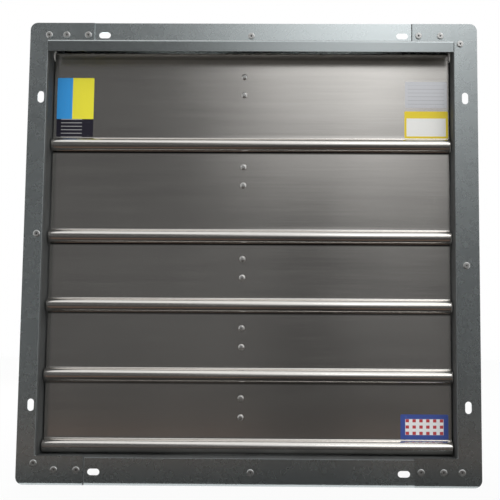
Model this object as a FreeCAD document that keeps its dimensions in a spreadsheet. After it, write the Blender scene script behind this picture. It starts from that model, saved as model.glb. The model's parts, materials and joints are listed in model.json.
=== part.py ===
import FreeCAD, Part
import math
import os
import Sketcher

from FreeCAD import Placement, Rotation, Vector

# Shutter exhaust fan for a wall opening. X runs to the right seen from outside, Y runs from outside to
# inside, Z is up. The origin is the centre of the flange, on the plane of the wall.

# Driving dimensions in millimetres, and counts. Each one becomes a named cell of the sheet.
DIMENSIONS = {
    # Frame of bent sheet round the shutter and the fan
    "frame_width": 610.0,
    "frame_height": 621.0,
    "frame_depth": 125.0,
    "frame_sheet": 1.2,
    "bend_radius": 2.5,
    "corner_radius": 10.0,
    "flange_left": 26.0,
    "flange_right": 33.0,
    "flange_top": 25.9,
    "flange_bottom": 37.5,
    "ear_length": 88.0,
    "rail_clearance": 0.3,
    # Slotted holes for the wall screws
    "slot_length": 16.0,
    "slot_width": 8.5,
    "slot_inset": 17.0,
    "slot_gap": 5.8,
    "side_slot_reach": 103.5,
    # Blind rivets of the frame, measured from the nearest corner or middle of a side
    "rivet_head_radius": 4.6,
    "rivet_head_height": 1.7,
    "rivet_shank_radius": 2.4,
    "rivet_core_radius": 1.4,
    "rivet_core_depth": 1.2,
    "rivet_clearance": 0.05,
    "rivet_reach_outer": 26.0,
    "rivet_reach_low": 23.0,
    "rivet_reach_middle": 50.0,
    "rivet_ear_margin": 8.5,
    "rivet_inset_top": 17.0,
    "rivet_inset_bottom": 19.5,
    "rivet_inset_low": 28.0,
    "middle_rivet_inset": 17.5,
    "middle_rivet_offset": 2.5,
    "middle_rivet_rise": 20.0,
    # Drip hood over the first blade
    "hood_sheet": 1.0,
    "hood_reach": 8.0,
    "hood_lip": 15.7,
    "hood_leaf": 20.0,
    # Shutter blades
    "blade_sheet": 1.0,
    "blade_end_gap": 2.2,
    "pivot_depth": 29.0,
    "pivot_drop": 11.6,
    "foot_rise": 10.5,
    "pitch_tall": 126.8,
    "bead_radius": 9.3,
    "crease_radius": 1.5,
    "rod_radius": 4.0,
    "rod_clearance": 0.05,
    "bush_flange": 1.4,
    "bush_flange_radius": 7.0,
    "bush_barrel_radius": 5.5,
    "bush_tail": 2.0,
    # Cranks behind the blades and the tie bar that joins them
    "crank_sheet": 1.5,
    "crank_width": 20.0,
    "crank_offset": 9.5,
    "crank_margin": 6.5,
    "crank_rivet_drop": 30.0,
    "crank_rivet_pitch": 25.5,
    "crank_pin_back": 32.0,
    "crank_pin_rise": 1.0,
    "crank_eye_radius": 6.0,
    "dome_radius": 4.15,
    "dome_height": 2.6,
    "dome_round": 2.4,
    "tail_radius": 3.4,
    "tail_height": 1.2,
    "pin_radius": 2.5,
    "pin_head_radius": 4.5,
    "pin_head_height": 1.4,
    "bar_width": 8.0,
    "bar_thickness": 3.0,
    "bar_end": 5.0,
    "bar_clearance": 0.3,
    # Fan panel with its throat
    "panel_lip": 15.0,
    "throat_margin": 18.0,
    "throat_front": 76.0,
    "bell_radius": 8.0,
    "bell_land": 2.0,
    "panel_screw_corner": 13.0,
    "panel_screw_inset": 10.0,
    "panel_screw_radius": 2.0,
    "panel_screw_head_radius": 4.0,
    "panel_screw_head": 2.4,
    "panel_screw_point": 2.0,
    # Arms that carry the motor, and the motor plate
    "arm_width": 25.0,
    "arm_thickness": 4.0,
    "arm_bend": 4.0,
    "arm_standoff": 40.0,
    "arm_leg_gap": 31.0,
    "arm_foot": 45.0,
    "arm_tip_length": 18.0,
    "foot_bolt_place": 27.0,
    "plate_margin": 5.0,
    "plate_bolt_inset": 17.0,
    "plate_bore_radius": 25.0,
    "plate_thickness": 3.0,
    "bolt_radius": 3.0,
    "bolt_clearance": 0.1,
    "bolt_head_radius": 5.5,
    "bolt_head": 3.5,
    # Wire guard
    "ring_wire": 3.5,
    "ring_gap": 20.0,
    "ring_overlap": 8.0,
    "spoke_wire": 5.0,
    "spoke_overrun": 7.0,
    "spoke_bend": 14.0,
    "weld_depth": 0.2,
    # Motor
    "motor_radius": 70.0,
    "motor_wall": 4.0,
    "motor_standoff": 8.0,
    "bell_length": 20.0,
    "bell_edge": 4.0,
    "shell_length": 90.0,
    "stud_inset": 15.0,
    "stud_boss_radius": 9.0,
    "stud_depth": 10.0,
    "boss_radius": 16.0,
    "bearing_radius": 11.0,
    "bearing_length": 14.0,
    "bearing_clearance": 0.03,
    "shaft_radius": 6.35,
    "shaft_hole_radius": 7.0,
    "shaft_end_gap": 2.0,
    "tie_bolt_gap": 6.0,
    "tie_bolt_radius": 2.5,
    "tie_ear_radius": 8.0,
    "tie_ear_length": 8.0,
    "core_length": 60.0,
    "core_clearance": 0.1,
    "rotor_radius": 39.6,
    "air_gap": 0.4,
    "winding_margin": 4.5,
    # Terminal box and capacitor on the motor
    "box_size": 60.0,
    "box_height": 42.0,
    "box_wall": 2.0,
    "box_floor": 6.0,
    "box_post_radius": 4.0,
    "cover_overhang": 2.0,
    "cover_screw_radius": 1.8,
    "cover_screw_head_radius": 3.5,
    "cover_screw_head": 2.0,
    "cover_screw_depth": 12.0,
    "cable_bush_radius": 9.0,
    "cable_bush_flange_radius": 12.0,
    "cable_bush_flange": 3.0,
    "cable_bush_length": 8.0,
    "cable_radius": 5.0,
    "capacitor_radius": 19.0,
    "capacitor_length": 70.0,
    "capacitor_gap": 1.0,
    "strap_sheet": 1.5,
    "strap_width": 16.0,
    # Propeller
    "tip_gap": 5.0,
    "propeller_place": 116.0,
    "hub_radius": 20.0,
    "hub_length": 32.0,
    "hub_clearance": 0.02,
    "spider_ring_radius": 27.0,
    "spider_ring_length": 18.0,
    "spider_sheet": 3.0,
    "spider_arm_width": 36.0,
    "spider_arm_reach": 125.0,
    "vane_sheet": 1.6,
    "vane_root_reach": 60.0,
    "vane_seat_reach": 130.0,
    "vane_middle_reach": 190.0,
    "vane_overrun": 6.0,
    "vane_root_chord": 86.0,
    "vane_seat_chord": 106.0,
    "vane_middle_chord": 118.0,
    "vane_tip_chord": 112.0,
    "vane_middle_camber": 5.0,
    "vane_tip_camber": 6.0,
    "vane_rivet_first": 75.0,
    "vane_rivet_last": 112.0,
    "vane_rivet_spread": 10.0,
}

TALL_BLADES = 2
SHORT_BLADES = 3
BLADE_COUNT = TALL_BLADES + SHORT_BLADES
RING_COUNT = 13
SPOKE_COUNT = 12
ARM_COUNT = 4
VANE_COUNT = 4
VANE_PITCH = 25.0
VANE_MIDDLE_TWIST = -3.0
VANE_TIP_TWIST = -6.0
HEX_SIDES = 6


class Size:
    """A length, kept both as a number and as the sheet expression that gives it."""

    def __init__(self, value, text):
        self.value = value
        self.text = text

    @staticmethod
    def of(amount):
        if isinstance(amount, Size):
            return amount
        return Size(float(amount), f"({float(amount)!r})")

    def _with(self, other, sign, value):
        return Size(value, f"({self.text} {sign} {other.text})")

    def __add__(self, other):
        other = Size.of(other)
        return self._with(other, "+", self.value + other.value)

    def __sub__(self, other):
        other = Size.of(other)
        return self._with(other, "-", self.value - other.value)

    def __mul__(self, other):
        other = Size.of(other)
        return self._with(other, "*", self.value * other.value)

    def __truediv__(self, other):
        other = Size.of(other)
        return self._with(other, "/", self.value / other.value)

    def __rmul__(self, other):
        return Size.of(other) * self

    def __neg__(self):
        return Size.of(-1) * self

    def limit(self, other):
        """The smaller of two lengths."""
        return Size(min(self.value, other.value), f"min({self.text}; {other.text})")


class Dimensions:
    """The sheet's cells, each one as a Size under its own name."""

    def __init__(self, sheet, table):
        for row, (alias, value) in enumerate(table.items(), start=1):
            sheet.set(f"A{row}", alias)
            sheet.set(f"B{row}", repr(value))
            sheet.setAlias(f"B{row}", alias)
            setattr(self, alias, Size(value, f"{sheet.Name}.{alias}"))


doc = FreeCAD.newDocument("shutter_exhaust_fan")
dim = Dimensions(doc.addObject("Spreadsheet::Sheet", "Dims"), DIMENSIONS)
doc.recompute()
nodes = []

# Planes and lines that several pieces share
half_width = dim.frame_width / 2
half_height = dim.frame_height / 2
left_wall = -half_width + dim.flange_left
right_wall = half_width - dim.flange_right
ceiling = half_height - dim.flange_top
sill = -half_height + dim.flange_bottom
fan_x = (left_wall + right_wall) / 2
fan_z = (ceiling + sill) / 2
channel_front = -2 * dim.frame_sheet
rail_front = -dim.frame_sheet
panel_half_width = (right_wall - left_wall) / 2 - dim.rail_clearance
panel_half_height = (ceiling - sill) / 2 - dim.rail_clearance
slot_reach = dim.ear_length + dim.slot_gap + dim.slot_length / 2
blade_stack = ceiling - dim.pivot_drop - sill - dim.foot_rise
pitch_short = (blade_stack - TALL_BLADES * dim.pitch_tall) / SHORT_BLADES
curl_bore = dim.rod_radius + dim.rod_clearance
curl_radius = curl_bore + dim.blade_sheet
blade_back = -curl_radius + dim.blade_sheet
blade_length = right_wall - left_wall - 2 * dim.blade_end_gap
crank_web = -dim.crank_offset + dim.crank_width / 2 - dim.crank_sheet
bar_place = crank_web + dim.crank_sheet + dim.bar_clearance
screw_plane = dim.frame_depth - dim.panel_screw_inset
screw_hole = dim.panel_screw_radius + dim.rivet_clearance
screw_half_width = panel_half_width - dim.panel_screw_corner
screw_half_height = panel_half_height - dim.panel_screw_corner
throat_radius = panel_half_width.limit(panel_half_height) - dim.throat_margin
throat_land = throat_radius + dim.bell_radius + dim.bell_land
propeller_radius = throat_radius - dim.tip_gap
arm_leg_reach = throat_radius + dim.arm_leg_gap
foot_bolt_reach = arm_leg_reach + dim.foot_bolt_place
arm_rear = dim.frame_depth + dim.arm_standoff
plate_radius = dim.motor_radius + dim.plate_margin
plate_bolt_reach = plate_radius - dim.plate_bolt_inset
arm_tip_reach = plate_bolt_reach - dim.arm_tip_length
ring_first = plate_radius + dim.ring_gap
plate_rear = arm_rear + dim.plate_thickness
motor_front = plate_rear + dim.motor_standoff
shell_front = motor_front + dim.bell_length
shell_rear = shell_front + dim.shell_length
motor_rear = shell_rear + dim.bell_length
motor_bore = dim.motor_radius - dim.motor_wall
stud_reach = dim.motor_radius - dim.stud_inset
tie_bolt_reach = dim.motor_radius + dim.tie_bolt_gap
front_seat = motor_front + dim.motor_wall
rear_seat = motor_rear - dim.motor_wall
core_front = shell_front + (dim.shell_length - dim.core_length) / 2
core_rear = core_front + dim.core_length
hub_front = dim.propeller_place - dim.hub_length / 2
vane_seat = dim.spider_sheet / 2

TURNS = {
    "X": Rotation(Vector(0, 1, 0), 90),
    "Y": Rotation(Vector(1, 0, 0), -90),
    "Z": Rotation(),
}


def pivot_height(index):
    """Height of a blade's pivot, counted from the top blade; one past the last gives the foot bead."""
    height = ceiling - dim.pivot_drop
    for above in range(index):
        height = height - (dim.pitch_tall if above < TALL_BLADES else pitch_short)
    return height


def bind(item, **sizes):
    """Tie properties of an object to sheet expressions."""
    for name, size in sizes.items():
        item.setExpression(name, Size.of(size).text)


def place(item, x=0, y=0, z=0, turn=Rotation()):
    """Put an object at sheet-driven coordinates with a fixed turn."""
    spot = [Size.of(size) for size in (x, y, z)]
    item.Placement = Placement(Vector(*(size.value for size in spot)), turn)
    for axis, size in zip("xyz", spot):
        item.setExpression(f"Placement.Base.{axis}", size.text)
    return item


def finish(item, name):
    """Name an object as a piece of the fan."""
    item.Label = name
    nodes.append(item)
    return item


def box(name, x_span, y_span, z_span):
    """Block between two places along each axis."""
    item = doc.addObject("Part::Box", name)
    spans = [(Size.of(low), Size.of(high)) for low, high in (x_span, y_span, z_span)]
    lengths = [high - low for low, high in spans]
    bind(item, Length=lengths[0], Width=lengths[1], Height=lengths[2])
    return place(item, *(low for low, high in spans))


def cylinder(name, radius, axis, start, end, across):
    """Rod along an axis from start to end; across gives its other two coordinates in X, Y, Z order."""
    item = doc.addObject("Part::Cylinder", name)
    bind(item, Radius=radius, Height=Size.of(end) - start)
    spot = list(across)
    spot.insert("XYZ".index(axis), start)
    return place(item, *spot, turn=TURNS[axis])


def hexagon(name, radius, start, end, across):
    """Six-sided head or nut along Y."""
    item = doc.addObject("Part::Prism", name)
    item.Polygon = HEX_SIDES
    bind(item, Circumradius=radius, Height=Size.of(end) - start)
    return place(item, across[0], start, across[1], TURNS["Y"])


def join(name, pieces):
    item = doc.addObject("Part::MultiFuse", name)
    item.Shapes = pieces
    return item


def cut(name, base, tool):
    item = doc.addObject("Part::Cut", name)
    item.Base = base
    item.Tool = tool
    return item


def group(name, pieces):
    item = doc.addObject("Part::Compound", name)
    item.Links = pieces
    return item


def ring(name, outer, inner, start, end, across):
    """Tube along Y."""
    shell = cylinder(f"{name}_outside", outer, "Y", start, end, across)
    hole = cylinder(f"{name}_bore", inner, "Y", start, end, across)
    return cut(name, shell, hole)


def new_body(name, x=0, y=0, z=0, turn=Rotation()):
    return place(doc.addObject("PartDesign::Body", name), x, y, z, turn)


def new_sketch(body, plane, name, level=0):
    """Sketch on one of the body's own planes, moved along that plane's world axis to a level."""
    sketch = body.newObject("Sketcher::SketchObject", f"{body.Name}_{name}")
    support = [feature for feature in body.Origin.OriginFeatures if feature.Role == f"{plane}_Plane"]
    sketch.AttachmentSupport = [(support[0], "")]
    sketch.MapMode = "FlatFace"
    along = -Size.of(level) if plane == "XZ" else Size.of(level)
    sketch.AttachmentOffset = Placement(Vector(0, 0, along.value), Rotation())
    sketch.setExpression("AttachmentOffset.Base.z", along.text)
    return sketch


def hold(sketch, kind, geometry, point, size):
    """Fix one coordinate of a sketch point at a sheet expression."""
    index = sketch.addConstraint(Sketcher.Constraint(kind, -1, 1, geometry, point, size.value))
    sketch.setExpression(f"Constraints[{index}]", size.text)


def draw_circle(sketch, x, y, radius):
    x, y, radius = Size.of(x), Size.of(y), Size.of(radius)
    circle = Part.Circle(Vector(x.value, y.value, 0), Vector(0, 0, 1), radius.value)
    index = sketch.addGeometry(circle, False)
    hold(sketch, "DistanceX", index, 3, x)
    hold(sketch, "DistanceY", index, 3, y)
    limit = sketch.addConstraint(Sketcher.Constraint("Radius", index, radius.value))
    sketch.setExpression(f"Constraints[{limit}]", radius.text)


def draw_outline(sketch, corners):
    """Closed outline. Each corner is (x, y), reached by a straight run from the corner before it, or
    (x, y, centre x, centre y), reached by an arc. A half circle adds True if it turns to the left."""
    spots = [[Size.of(size) for size in corner[:4]] for corner in corners]
    first = sketch.GeometryCount
    ends = []
    for index, spot in enumerate(spots):
        start = Vector(spots[index - 1][0].value, spots[index - 1][1].value, 0)
        end = Vector(spot[0].value, spot[1].value, 0)
        if len(spot) == 2:
            sketch.addGeometry(Part.LineSegment(start, end), False)
            ends.append((1, 2))
            continue
        middle = Vector(spot[2].value, spot[3].value, 0)
        begin = math.atan2(start.y - middle.y, start.x - middle.x)
        stop = math.atan2(end.y - middle.y, end.x - middle.x)
        left = (stop - begin) % (2 * math.pi) < math.pi
        if len(corners[index]) == 5:
            left = corners[index][4]
        circle = Part.Circle(middle, Vector(0, 0, 1), (end - middle).Length)
        angles = (begin, stop) if left else (stop, begin)
        sketch.addGeometry(Part.ArcOfCircle(circle, *angles), False)
        ends.append((1, 2) if left else (2, 1))
    count = len(spots)
    for index in range(count):
        after = (index + 1) % count
        joint = (first + index, ends[index][1], first + after, ends[after][0])
        sketch.addConstraint(Sketcher.Constraint("Coincident", *joint))
    for index, spot in enumerate(spots):
        hold(sketch, "DistanceX", first + index, ends[index][1], spot[0])
        hold(sketch, "DistanceY", first + index, ends[index][1], spot[1])
        if len(spot) == 4:
            before = spots[index - 1]
            wide = abs(spot[0].value - before[0].value) > abs(spot[1].value - before[1].value)
            kind, size = ("DistanceY", spot[3]) if wide else ("DistanceX", spot[2])
            hold(sketch, kind, first + index, 3, size)


def draw_rectangle(sketch, x_span, y_span):
    (left, right), (low, high) = x_span, y_span
    draw_outline(sketch, [(left, low), (right, low), (right, high), (left, high)])


def draw_slot(sketch, x, y, upright):
    """Slotted hole for a wall screw, lying along the sketch's first or second axis."""
    half = dim.slot_width / 2
    run = (dim.slot_length - dim.slot_width) / 2
    corners = [(-run, -half), (run, -half), (run, half), (-run, half)]
    middles = {2: (run, 0), 0: (-run, 0)}
    outline = []
    for index, (along, aside) in enumerate(corners):
        spots = [(along, aside)]
        if index in middles:
            spots.append(middles[index])
        spots = [(-aside, along) if upright else (along, aside) for along, aside in map(sized, spots)]
        corner = [size for pair in spots for size in (x + pair[0], y + pair[1])]
        outline.append(tuple(corner) + ((True,) if index in middles else ()))
    draw_outline(sketch, outline)


def sized(pair):
    return Size.of(pair[0]), Size.of(pair[1])


def pad(body, sketch, length, symmetric=False, reverse=False):
    feature = body.newObject("PartDesign::Pad", f"{sketch.Name}_pad")
    feature.Profile = sketch
    feature.SideType = "Symmetric" if symmetric else "One side"
    feature.Reversed = reverse
    bind(feature, Length=length)
    return feature


def cut_through(body, sketch):
    feature = body.newObject("PartDesign::Pocket", f"{sketch.Name}_cut")
    feature.Profile = sketch
    feature.Type = "ThroughAll"
    feature.SideType = "Symmetric"
    return feature


def cut_depth(body, sketch, depth):
    feature = body.newObject("PartDesign::Pocket", f"{sketch.Name}_cut")
    feature.Profile = sketch
    bind(feature, Length=depth)
    return feature


def turn_round(body, sketch):
    """Revolve a profile about the body's own Y axis, which is the sketch's first axis."""
    feature = body.newObject("PartDesign::Revolution", f"{sketch.Name}_turned")
    feature.Profile = sketch
    feature.ReferenceAxis = (sketch, ["H_Axis"])
    feature.Angle = 360
    return feature


def round_front(body, base, radius):
    """Round the front rims of heads that point towards -Y."""
    doc.recompute()
    front = base.Shape.BoundBox.YMin
    rims = []
    for index, edge in enumerate(base.Shape.Edges, start=1):
        if edge.Closed and abs(edge.BoundBox.YMin - front) < 1e-4 and edge.BoundBox.YLength < 1e-4:
            rims.append(f"Edge{index}")
    feature = body.newObject("PartDesign::Fillet", f"{base.Name}_round")
    feature.Base = (base, rims)
    bind(feature, Radius=radius)
    return feature


def spread(count, reach, first_degrees=0.0):
    """Places on a circle about the fan's axis, as offsets along X and Z."""
    places = []
    for index in range(count):
        angle = math.radians(first_degrees + 360.0 * index / count)
        places.append((reach * math.cos(angle), reach * math.sin(angle)))
    return places


def from_axis(places):
    return [(fan_x + x, fan_z + z) for x, z in places]


# Frame

def corner_rivets(side, level):
    """Rivet places in one corner ear: the outermost first, then along the ear."""
    inset = dim.rivet_inset_top if level > 0 else dim.rivet_inset_bottom
    outer = (dim.rivet_reach_low, dim.rivet_inset_low) if side == level else (dim.rivet_reach_outer, inset)
    inner_reach = dim.ear_length - dim.rivet_ear_margin
    places = (outer, (dim.rivet_reach_middle, inset), (inner_reach, inset))
    return [(side * (half_width - reach), level * (half_height - depth)) for reach, depth in places]


def side_rivet(side):
    return side * (half_width - dim.middle_rivet_inset), -side * dim.middle_rivet_rise


def rail_rivet(level):
    return -level * dim.middle_rivet_offset, level * (half_height - dim.middle_rivet_inset)


def angle_section(sketch, wall, edge, front, side, swap):
    """Bent angle: a flange from the edge to the bend, then a wall that runs back from it."""
    sheet, bend = dim.frame_sheet, dim.bend_radius
    middle = (wall + side * bend, front + bend)
    corners = [
        (edge, front),
        (wall + side * bend, front),
        (wall, front + bend, *middle),
        (wall, dim.frame_depth),
        (wall + side * sheet, dim.frame_depth),
        (wall + side * sheet, front + bend),
        (wall + side * bend, front + sheet, *middle),
        (edge, front + sheet),
    ]
    if swap:
        corners = [tuple(size for pair in zip(c[1::2], c[0::2]) for size in pair) for c in corners]
    draw_outline(sketch, corners)


def side_channel(name, side, wall):
    """Side of the frame, with an ear at the top and the bottom that laps over the rails."""
    edge = side * half_width
    body = new_body(name)
    section = new_sketch(body, "XY", "section", sill - dim.frame_sheet)
    angle_section(section, wall, edge, channel_front, side, swap=False)
    pad(body, section, ceiling - sill + 2 * dim.frame_sheet)
    for level, inner in ((1, ceiling), (-1, sill)):
        ear = new_sketch(body, "XZ", f"ear_{'top' if level > 0 else 'bottom'}", rail_front)
        tip, radius = level * half_height, dim.corner_radius
        draw_outline(ear, [
            (edge, inner),
            (edge, tip - level * radius),
            (edge - side * radius, tip, edge - side * radius, tip - level * radius),
            (edge - side * dim.ear_length, tip),
            (edge - side * dim.ear_length, inner),
        ])
        pad(body, ear, dim.frame_sheet)
    holes = new_sketch(body, "XZ", "flange_holes")
    for level in (1, -1):
        draw_slot(holes, edge - side * dim.slot_inset, level * (half_height - dim.side_slot_reach), upright=True)
    for x, z in corner_rivets(side, 1) + corner_rivets(side, -1) + [side_rivet(side)]:
        draw_circle(holes, x, z, dim.rivet_shank_radius + dim.rivet_clearance)
    cut_through(body, holes)
    bores = new_sketch(body, "YZ", "wall_holes")
    for index in range(BLADE_COUNT):
        draw_circle(bores, dim.pivot_depth, pivot_height(index), dim.bush_barrel_radius + dim.rod_clearance)
    for level in (1, -1):
        draw_circle(bores, screw_plane, fan_z + level * screw_half_height, screw_hole)
    cut_through(body, bores)
    finish(body, name)


def rail(name, level, wall):
    """Top or bottom of the frame; its flange runs on behind the ears."""
    edge = level * half_height
    body = new_body(name)
    section = new_sketch(body, "YZ", "section", left_wall + dim.rail_clearance)
    angle_section(section, wall, edge, rail_front, level, swap=True)
    pad(body, section, 2 * panel_half_width)
    flange = new_sketch(body, "XZ", "flange")
    reach = half_width - dim.corner_radius
    draw_rectangle(flange, (-reach, reach), (wall + level * dim.bend_radius, edge))
    pad(body, flange, dim.frame_sheet)
    holes = new_sketch(body, "XZ", "flange_holes")
    for side in (1, -1):
        draw_slot(holes, side * (half_width - slot_reach), edge - level * dim.slot_inset, upright=False)
        for x, z in corner_rivets(side, level):
            draw_circle(holes, x, z, dim.rivet_shank_radius + dim.rivet_clearance)
    draw_circle(holes, *rail_rivet(level), dim.rivet_shank_radius + dim.rivet_clearance)
    cut_through(body, holes)
    bores = new_sketch(body, "XY", "wall_holes")
    for side in (1, -1):
        draw_circle(bores, fan_x + side * screw_half_width, screw_plane, screw_hole)
    cut_through(body, bores)
    finish(body, name)


def drip_hood():
    """Bent strip under the top rail, with a lip that hangs in front of the first blade's rolled edge."""
    body = new_body("drip_hood")
    front, sheet, bend = channel_front - dim.hood_reach, dim.hood_sheet, dim.bend_radius
    middle = (front + bend, ceiling - bend)
    section = new_sketch(body, "YZ", "section", left_wall + dim.rail_clearance)
    draw_outline(section, [
        (dim.hood_leaf, ceiling),
        (front + bend, ceiling),
        (front, ceiling - bend, *middle),
        (front, ceiling - dim.hood_lip),
        (front + sheet, ceiling - dim.hood_lip),
        (front + sheet, ceiling - bend),
        (front + bend, ceiling - sheet, *middle),
        (dim.hood_leaf, ceiling - sheet),
    ])
    pad(body, section, 2 * panel_half_width)
    finish(body, "drip_hood")


def blind_rivets(name, places, front, grip):
    """Blind rivets with hollow domed heads towards the front."""
    body = new_body(name)
    heads = new_sketch(body, "XZ", "heads", front)
    cores = new_sketch(body, "XZ", "cores", front - dim.rivet_head_height)
    shanks = new_sketch(body, "XZ", "shanks", front)
    for x, z in places:
        draw_circle(heads, x, z, dim.rivet_head_radius)
        draw_circle(cores, x, z, dim.rivet_core_radius)
        draw_circle(shanks, x, z, dim.rivet_shank_radius)
    round_front(body, pad(body, heads, dim.rivet_head_height), dim.rivet_core_depth)
    pad(body, shanks, grip, reverse=True)
    cut_depth(body, cores, dim.rivet_core_depth)
    return body


def frame_rivets():
    ears = [spot for side in (1, -1) for level in (1, -1) for spot in corner_rivets(side, level)]
    ears += [side_rivet(side) for side in (1, -1)]
    rails = [rail_rivet(level) for level in (1, -1)]
    ear_set = blind_rivets("ear_rivets", ears, channel_front, 2 * dim.frame_sheet)
    rail_set = blind_rivets("rail_rivets", rails, rail_front, dim.frame_sheet)
    finish(group("frame_rivets", [ear_set, rail_set]), "frame_rivets")


def pivot_bushes():
    """Flanged bushes in the side walls, in which the pivot rods turn."""
    sets = []
    for side, wall in ((-1, left_wall), (1, right_wall)):
        body = new_body(f"bushes_{'left' if side < 0 else 'right'}")
        collars = new_sketch(body, "YZ", "collars", wall)
        barrels = new_sketch(body, "YZ", "barrels", wall)
        for index in range(BLADE_COUNT):
            for sketch, radius in ((collars, dim.bush_flange_radius), (barrels, dim.bush_barrel_radius)):
                draw_circle(sketch, dim.pivot_depth, pivot_height(index), radius)
                draw_circle(sketch, dim.pivot_depth, pivot_height(index), curl_bore)
        pad(body, collars, dim.bush_flange, reverse=side > 0)
        pad(body, barrels, dim.frame_sheet + dim.bush_tail, reverse=side < 0)
        sets.append(body)
    finish(group("pivot_bushes", sets), "pivot_bushes")


# Shutter

def shutter_blade(number, pivot, pitch):
    """Sheet blade: rolled edge round the rod, flat panel, half-round bead in front of the next blade."""
    name = f"shutter_blade_{number}"
    body = new_body(name, fan_x, dim.pivot_depth, pivot)
    curl = new_sketch(body, "YZ", "curl")
    draw_circle(curl, 0, 0, curl_radius)
    draw_circle(curl, 0, 0, curl_bore)
    pad(body, curl, blade_length, symmetric=True)
    front, sheet, bead, crease = -curl_radius, dim.blade_sheet, dim.bead_radius, dim.crease_radius
    bead_place = front - crease
    top = -pitch + bead
    section = new_sketch(body, "YZ", "section")
    draw_outline(section, [
        (front, -sheet),
        (front, top + crease),
        (bead_place, top, bead_place, top + crease),
        (bead_place, -pitch - bead, bead_place, -pitch, True),
        (bead_place, -pitch - bead + sheet),
        (bead_place, top - sheet, bead_place, -pitch, False),
        (blade_back, top + crease, bead_place, top + crease),
        (blade_back, -sheet),
    ])
    pad(body, section, blade_length, symmetric=True)
    holes = new_sketch(body, "XZ", "rivet_holes")
    for x, z in crank_rivet_places():
        draw_circle(holes, x, z, dim.rivet_shank_radius + dim.rivet_clearance)
    cut_through(body, holes)
    finish(body, name)


def crank_rivet_places():
    drops = (dim.crank_rivet_drop, dim.crank_rivet_drop + dim.crank_rivet_pitch)
    return [(-dim.crank_offset, -drop) for drop in drops]


def pivot_rod(number, pivot):
    name = f"pivot_rod_{number}"
    overhang = dim.frame_sheet + dim.bush_tail
    ends = (left_wall - overhang, right_wall + overhang)
    finish(cylinder(name, dim.rod_radius, "X", *ends, (dim.pivot_depth, pivot)), name)


def crank_bracket(number, pivot):
    """Bent bracket riveted behind a blade; its eye carries the pin that the tie bar hangs on."""
    name = f"crank_bracket_{number}"
    body = new_body(name, fan_x, dim.pivot_depth, pivot)
    top = -dim.crank_rivet_drop + dim.crank_margin
    foot = -dim.crank_rivet_drop - dim.crank_rivet_pitch - dim.crank_margin
    back, rise, eye = dim.crank_pin_back, dim.crank_pin_rise, dim.crank_eye_radius
    lean = math.sqrt(0.5)
    web = new_sketch(body, "YZ", "web", crank_web)
    draw_outline(web, [
        (blade_back, foot),
        (blade_back + dim.crank_margin, foot),
        (back + eye * lean, rise - eye * lean),
        (back - eye * lean, rise + eye * lean, back, rise, True),
        (blade_back, top),
    ])
    draw_circle(web, back, rise, dim.pin_radius + dim.rivet_clearance)
    pad(body, web, dim.crank_sheet)
    flange = new_sketch(body, "XZ", "flange", blade_back)
    inner = -dim.crank_offset - dim.crank_width / 2
    draw_rectangle(flange, (inner, inner + dim.crank_width), (foot, top))
    for x, z in crank_rivet_places():
        draw_circle(flange, x, z, dim.rivet_shank_radius + dim.rivet_clearance)
    pad(body, flange, dim.crank_sheet, reverse=True)
    finish(body, name)


def crank_rivets(number, pivot):
    """Two domed rivets through the blade and its bracket, and the bracket's headed pin."""
    name = f"crank_rivets_{number}"
    body = new_body(f"{name}_domes", fan_x, dim.pivot_depth, pivot)
    heads = new_sketch(body, "XZ", "heads", -curl_radius)
    shanks = new_sketch(body, "XZ", "shanks", -curl_radius)
    tails = new_sketch(body, "XZ", "tails", blade_back + dim.crank_sheet)
    for x, z in crank_rivet_places():
        draw_circle(heads, x, z, dim.dome_radius)
        draw_circle(shanks, x, z, dim.rivet_shank_radius)
        draw_circle(tails, x, z, dim.tail_radius)
    round_front(body, pad(body, heads, dim.dome_height), dim.dome_round)
    pad(body, shanks, dim.blade_sheet + dim.crank_sheet, reverse=True)
    pad(body, tails, dim.tail_height, reverse=True)
    across = (dim.pivot_depth + dim.crank_pin_back, pivot + dim.crank_pin_rise)
    web = fan_x + crank_web
    clip = fan_x + bar_place + dim.bar_thickness + dim.bar_clearance
    height, wide = dim.pin_head_height, dim.pin_head_radius
    pin = join(f"{name}_pin", [
        cylinder(f"{name}_pin_shank", dim.pin_radius, "X", web - height, clip + height, across),
        cylinder(f"{name}_pin_head", wide, "X", web - height, web, across),
        cylinder(f"{name}_pin_clip", wide, "X", clip, clip + height, across),
    ])
    finish(group(name, [body, pin]), name)


def tie_bar():
    """Flat bar that makes the five blades turn together."""
    body = new_body("tie_bar", fan_x, dim.pivot_depth + dim.crank_pin_back, dim.crank_pin_rise)
    bar = new_sketch(body, "YZ", "bar", bar_place)
    half = dim.bar_width / 2
    span = (pivot_height(BLADE_COUNT - 1) - dim.bar_end, pivot_height(0) + dim.bar_end)
    draw_rectangle(bar, (-half, half), span)
    for index in range(BLADE_COUNT):
        draw_circle(bar, 0, pivot_height(index), dim.pin_radius + dim.rod_clearance)
    pad(body, bar, dim.bar_thickness)
    finish(body, "tie_bar")


def shutter():
    for index in range(BLADE_COUNT):
        pivot = pivot_height(index)
        pitch = dim.pitch_tall if index < TALL_BLADES else pitch_short
        shutter_blade(index + 1, pivot, pitch)
        pivot_rod(index + 1, pivot)
        crank_bracket(index + 1, pivot)
        crank_rivets(index + 1, pivot)
    tie_bar()


# Fan panel and what stands on it

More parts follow.
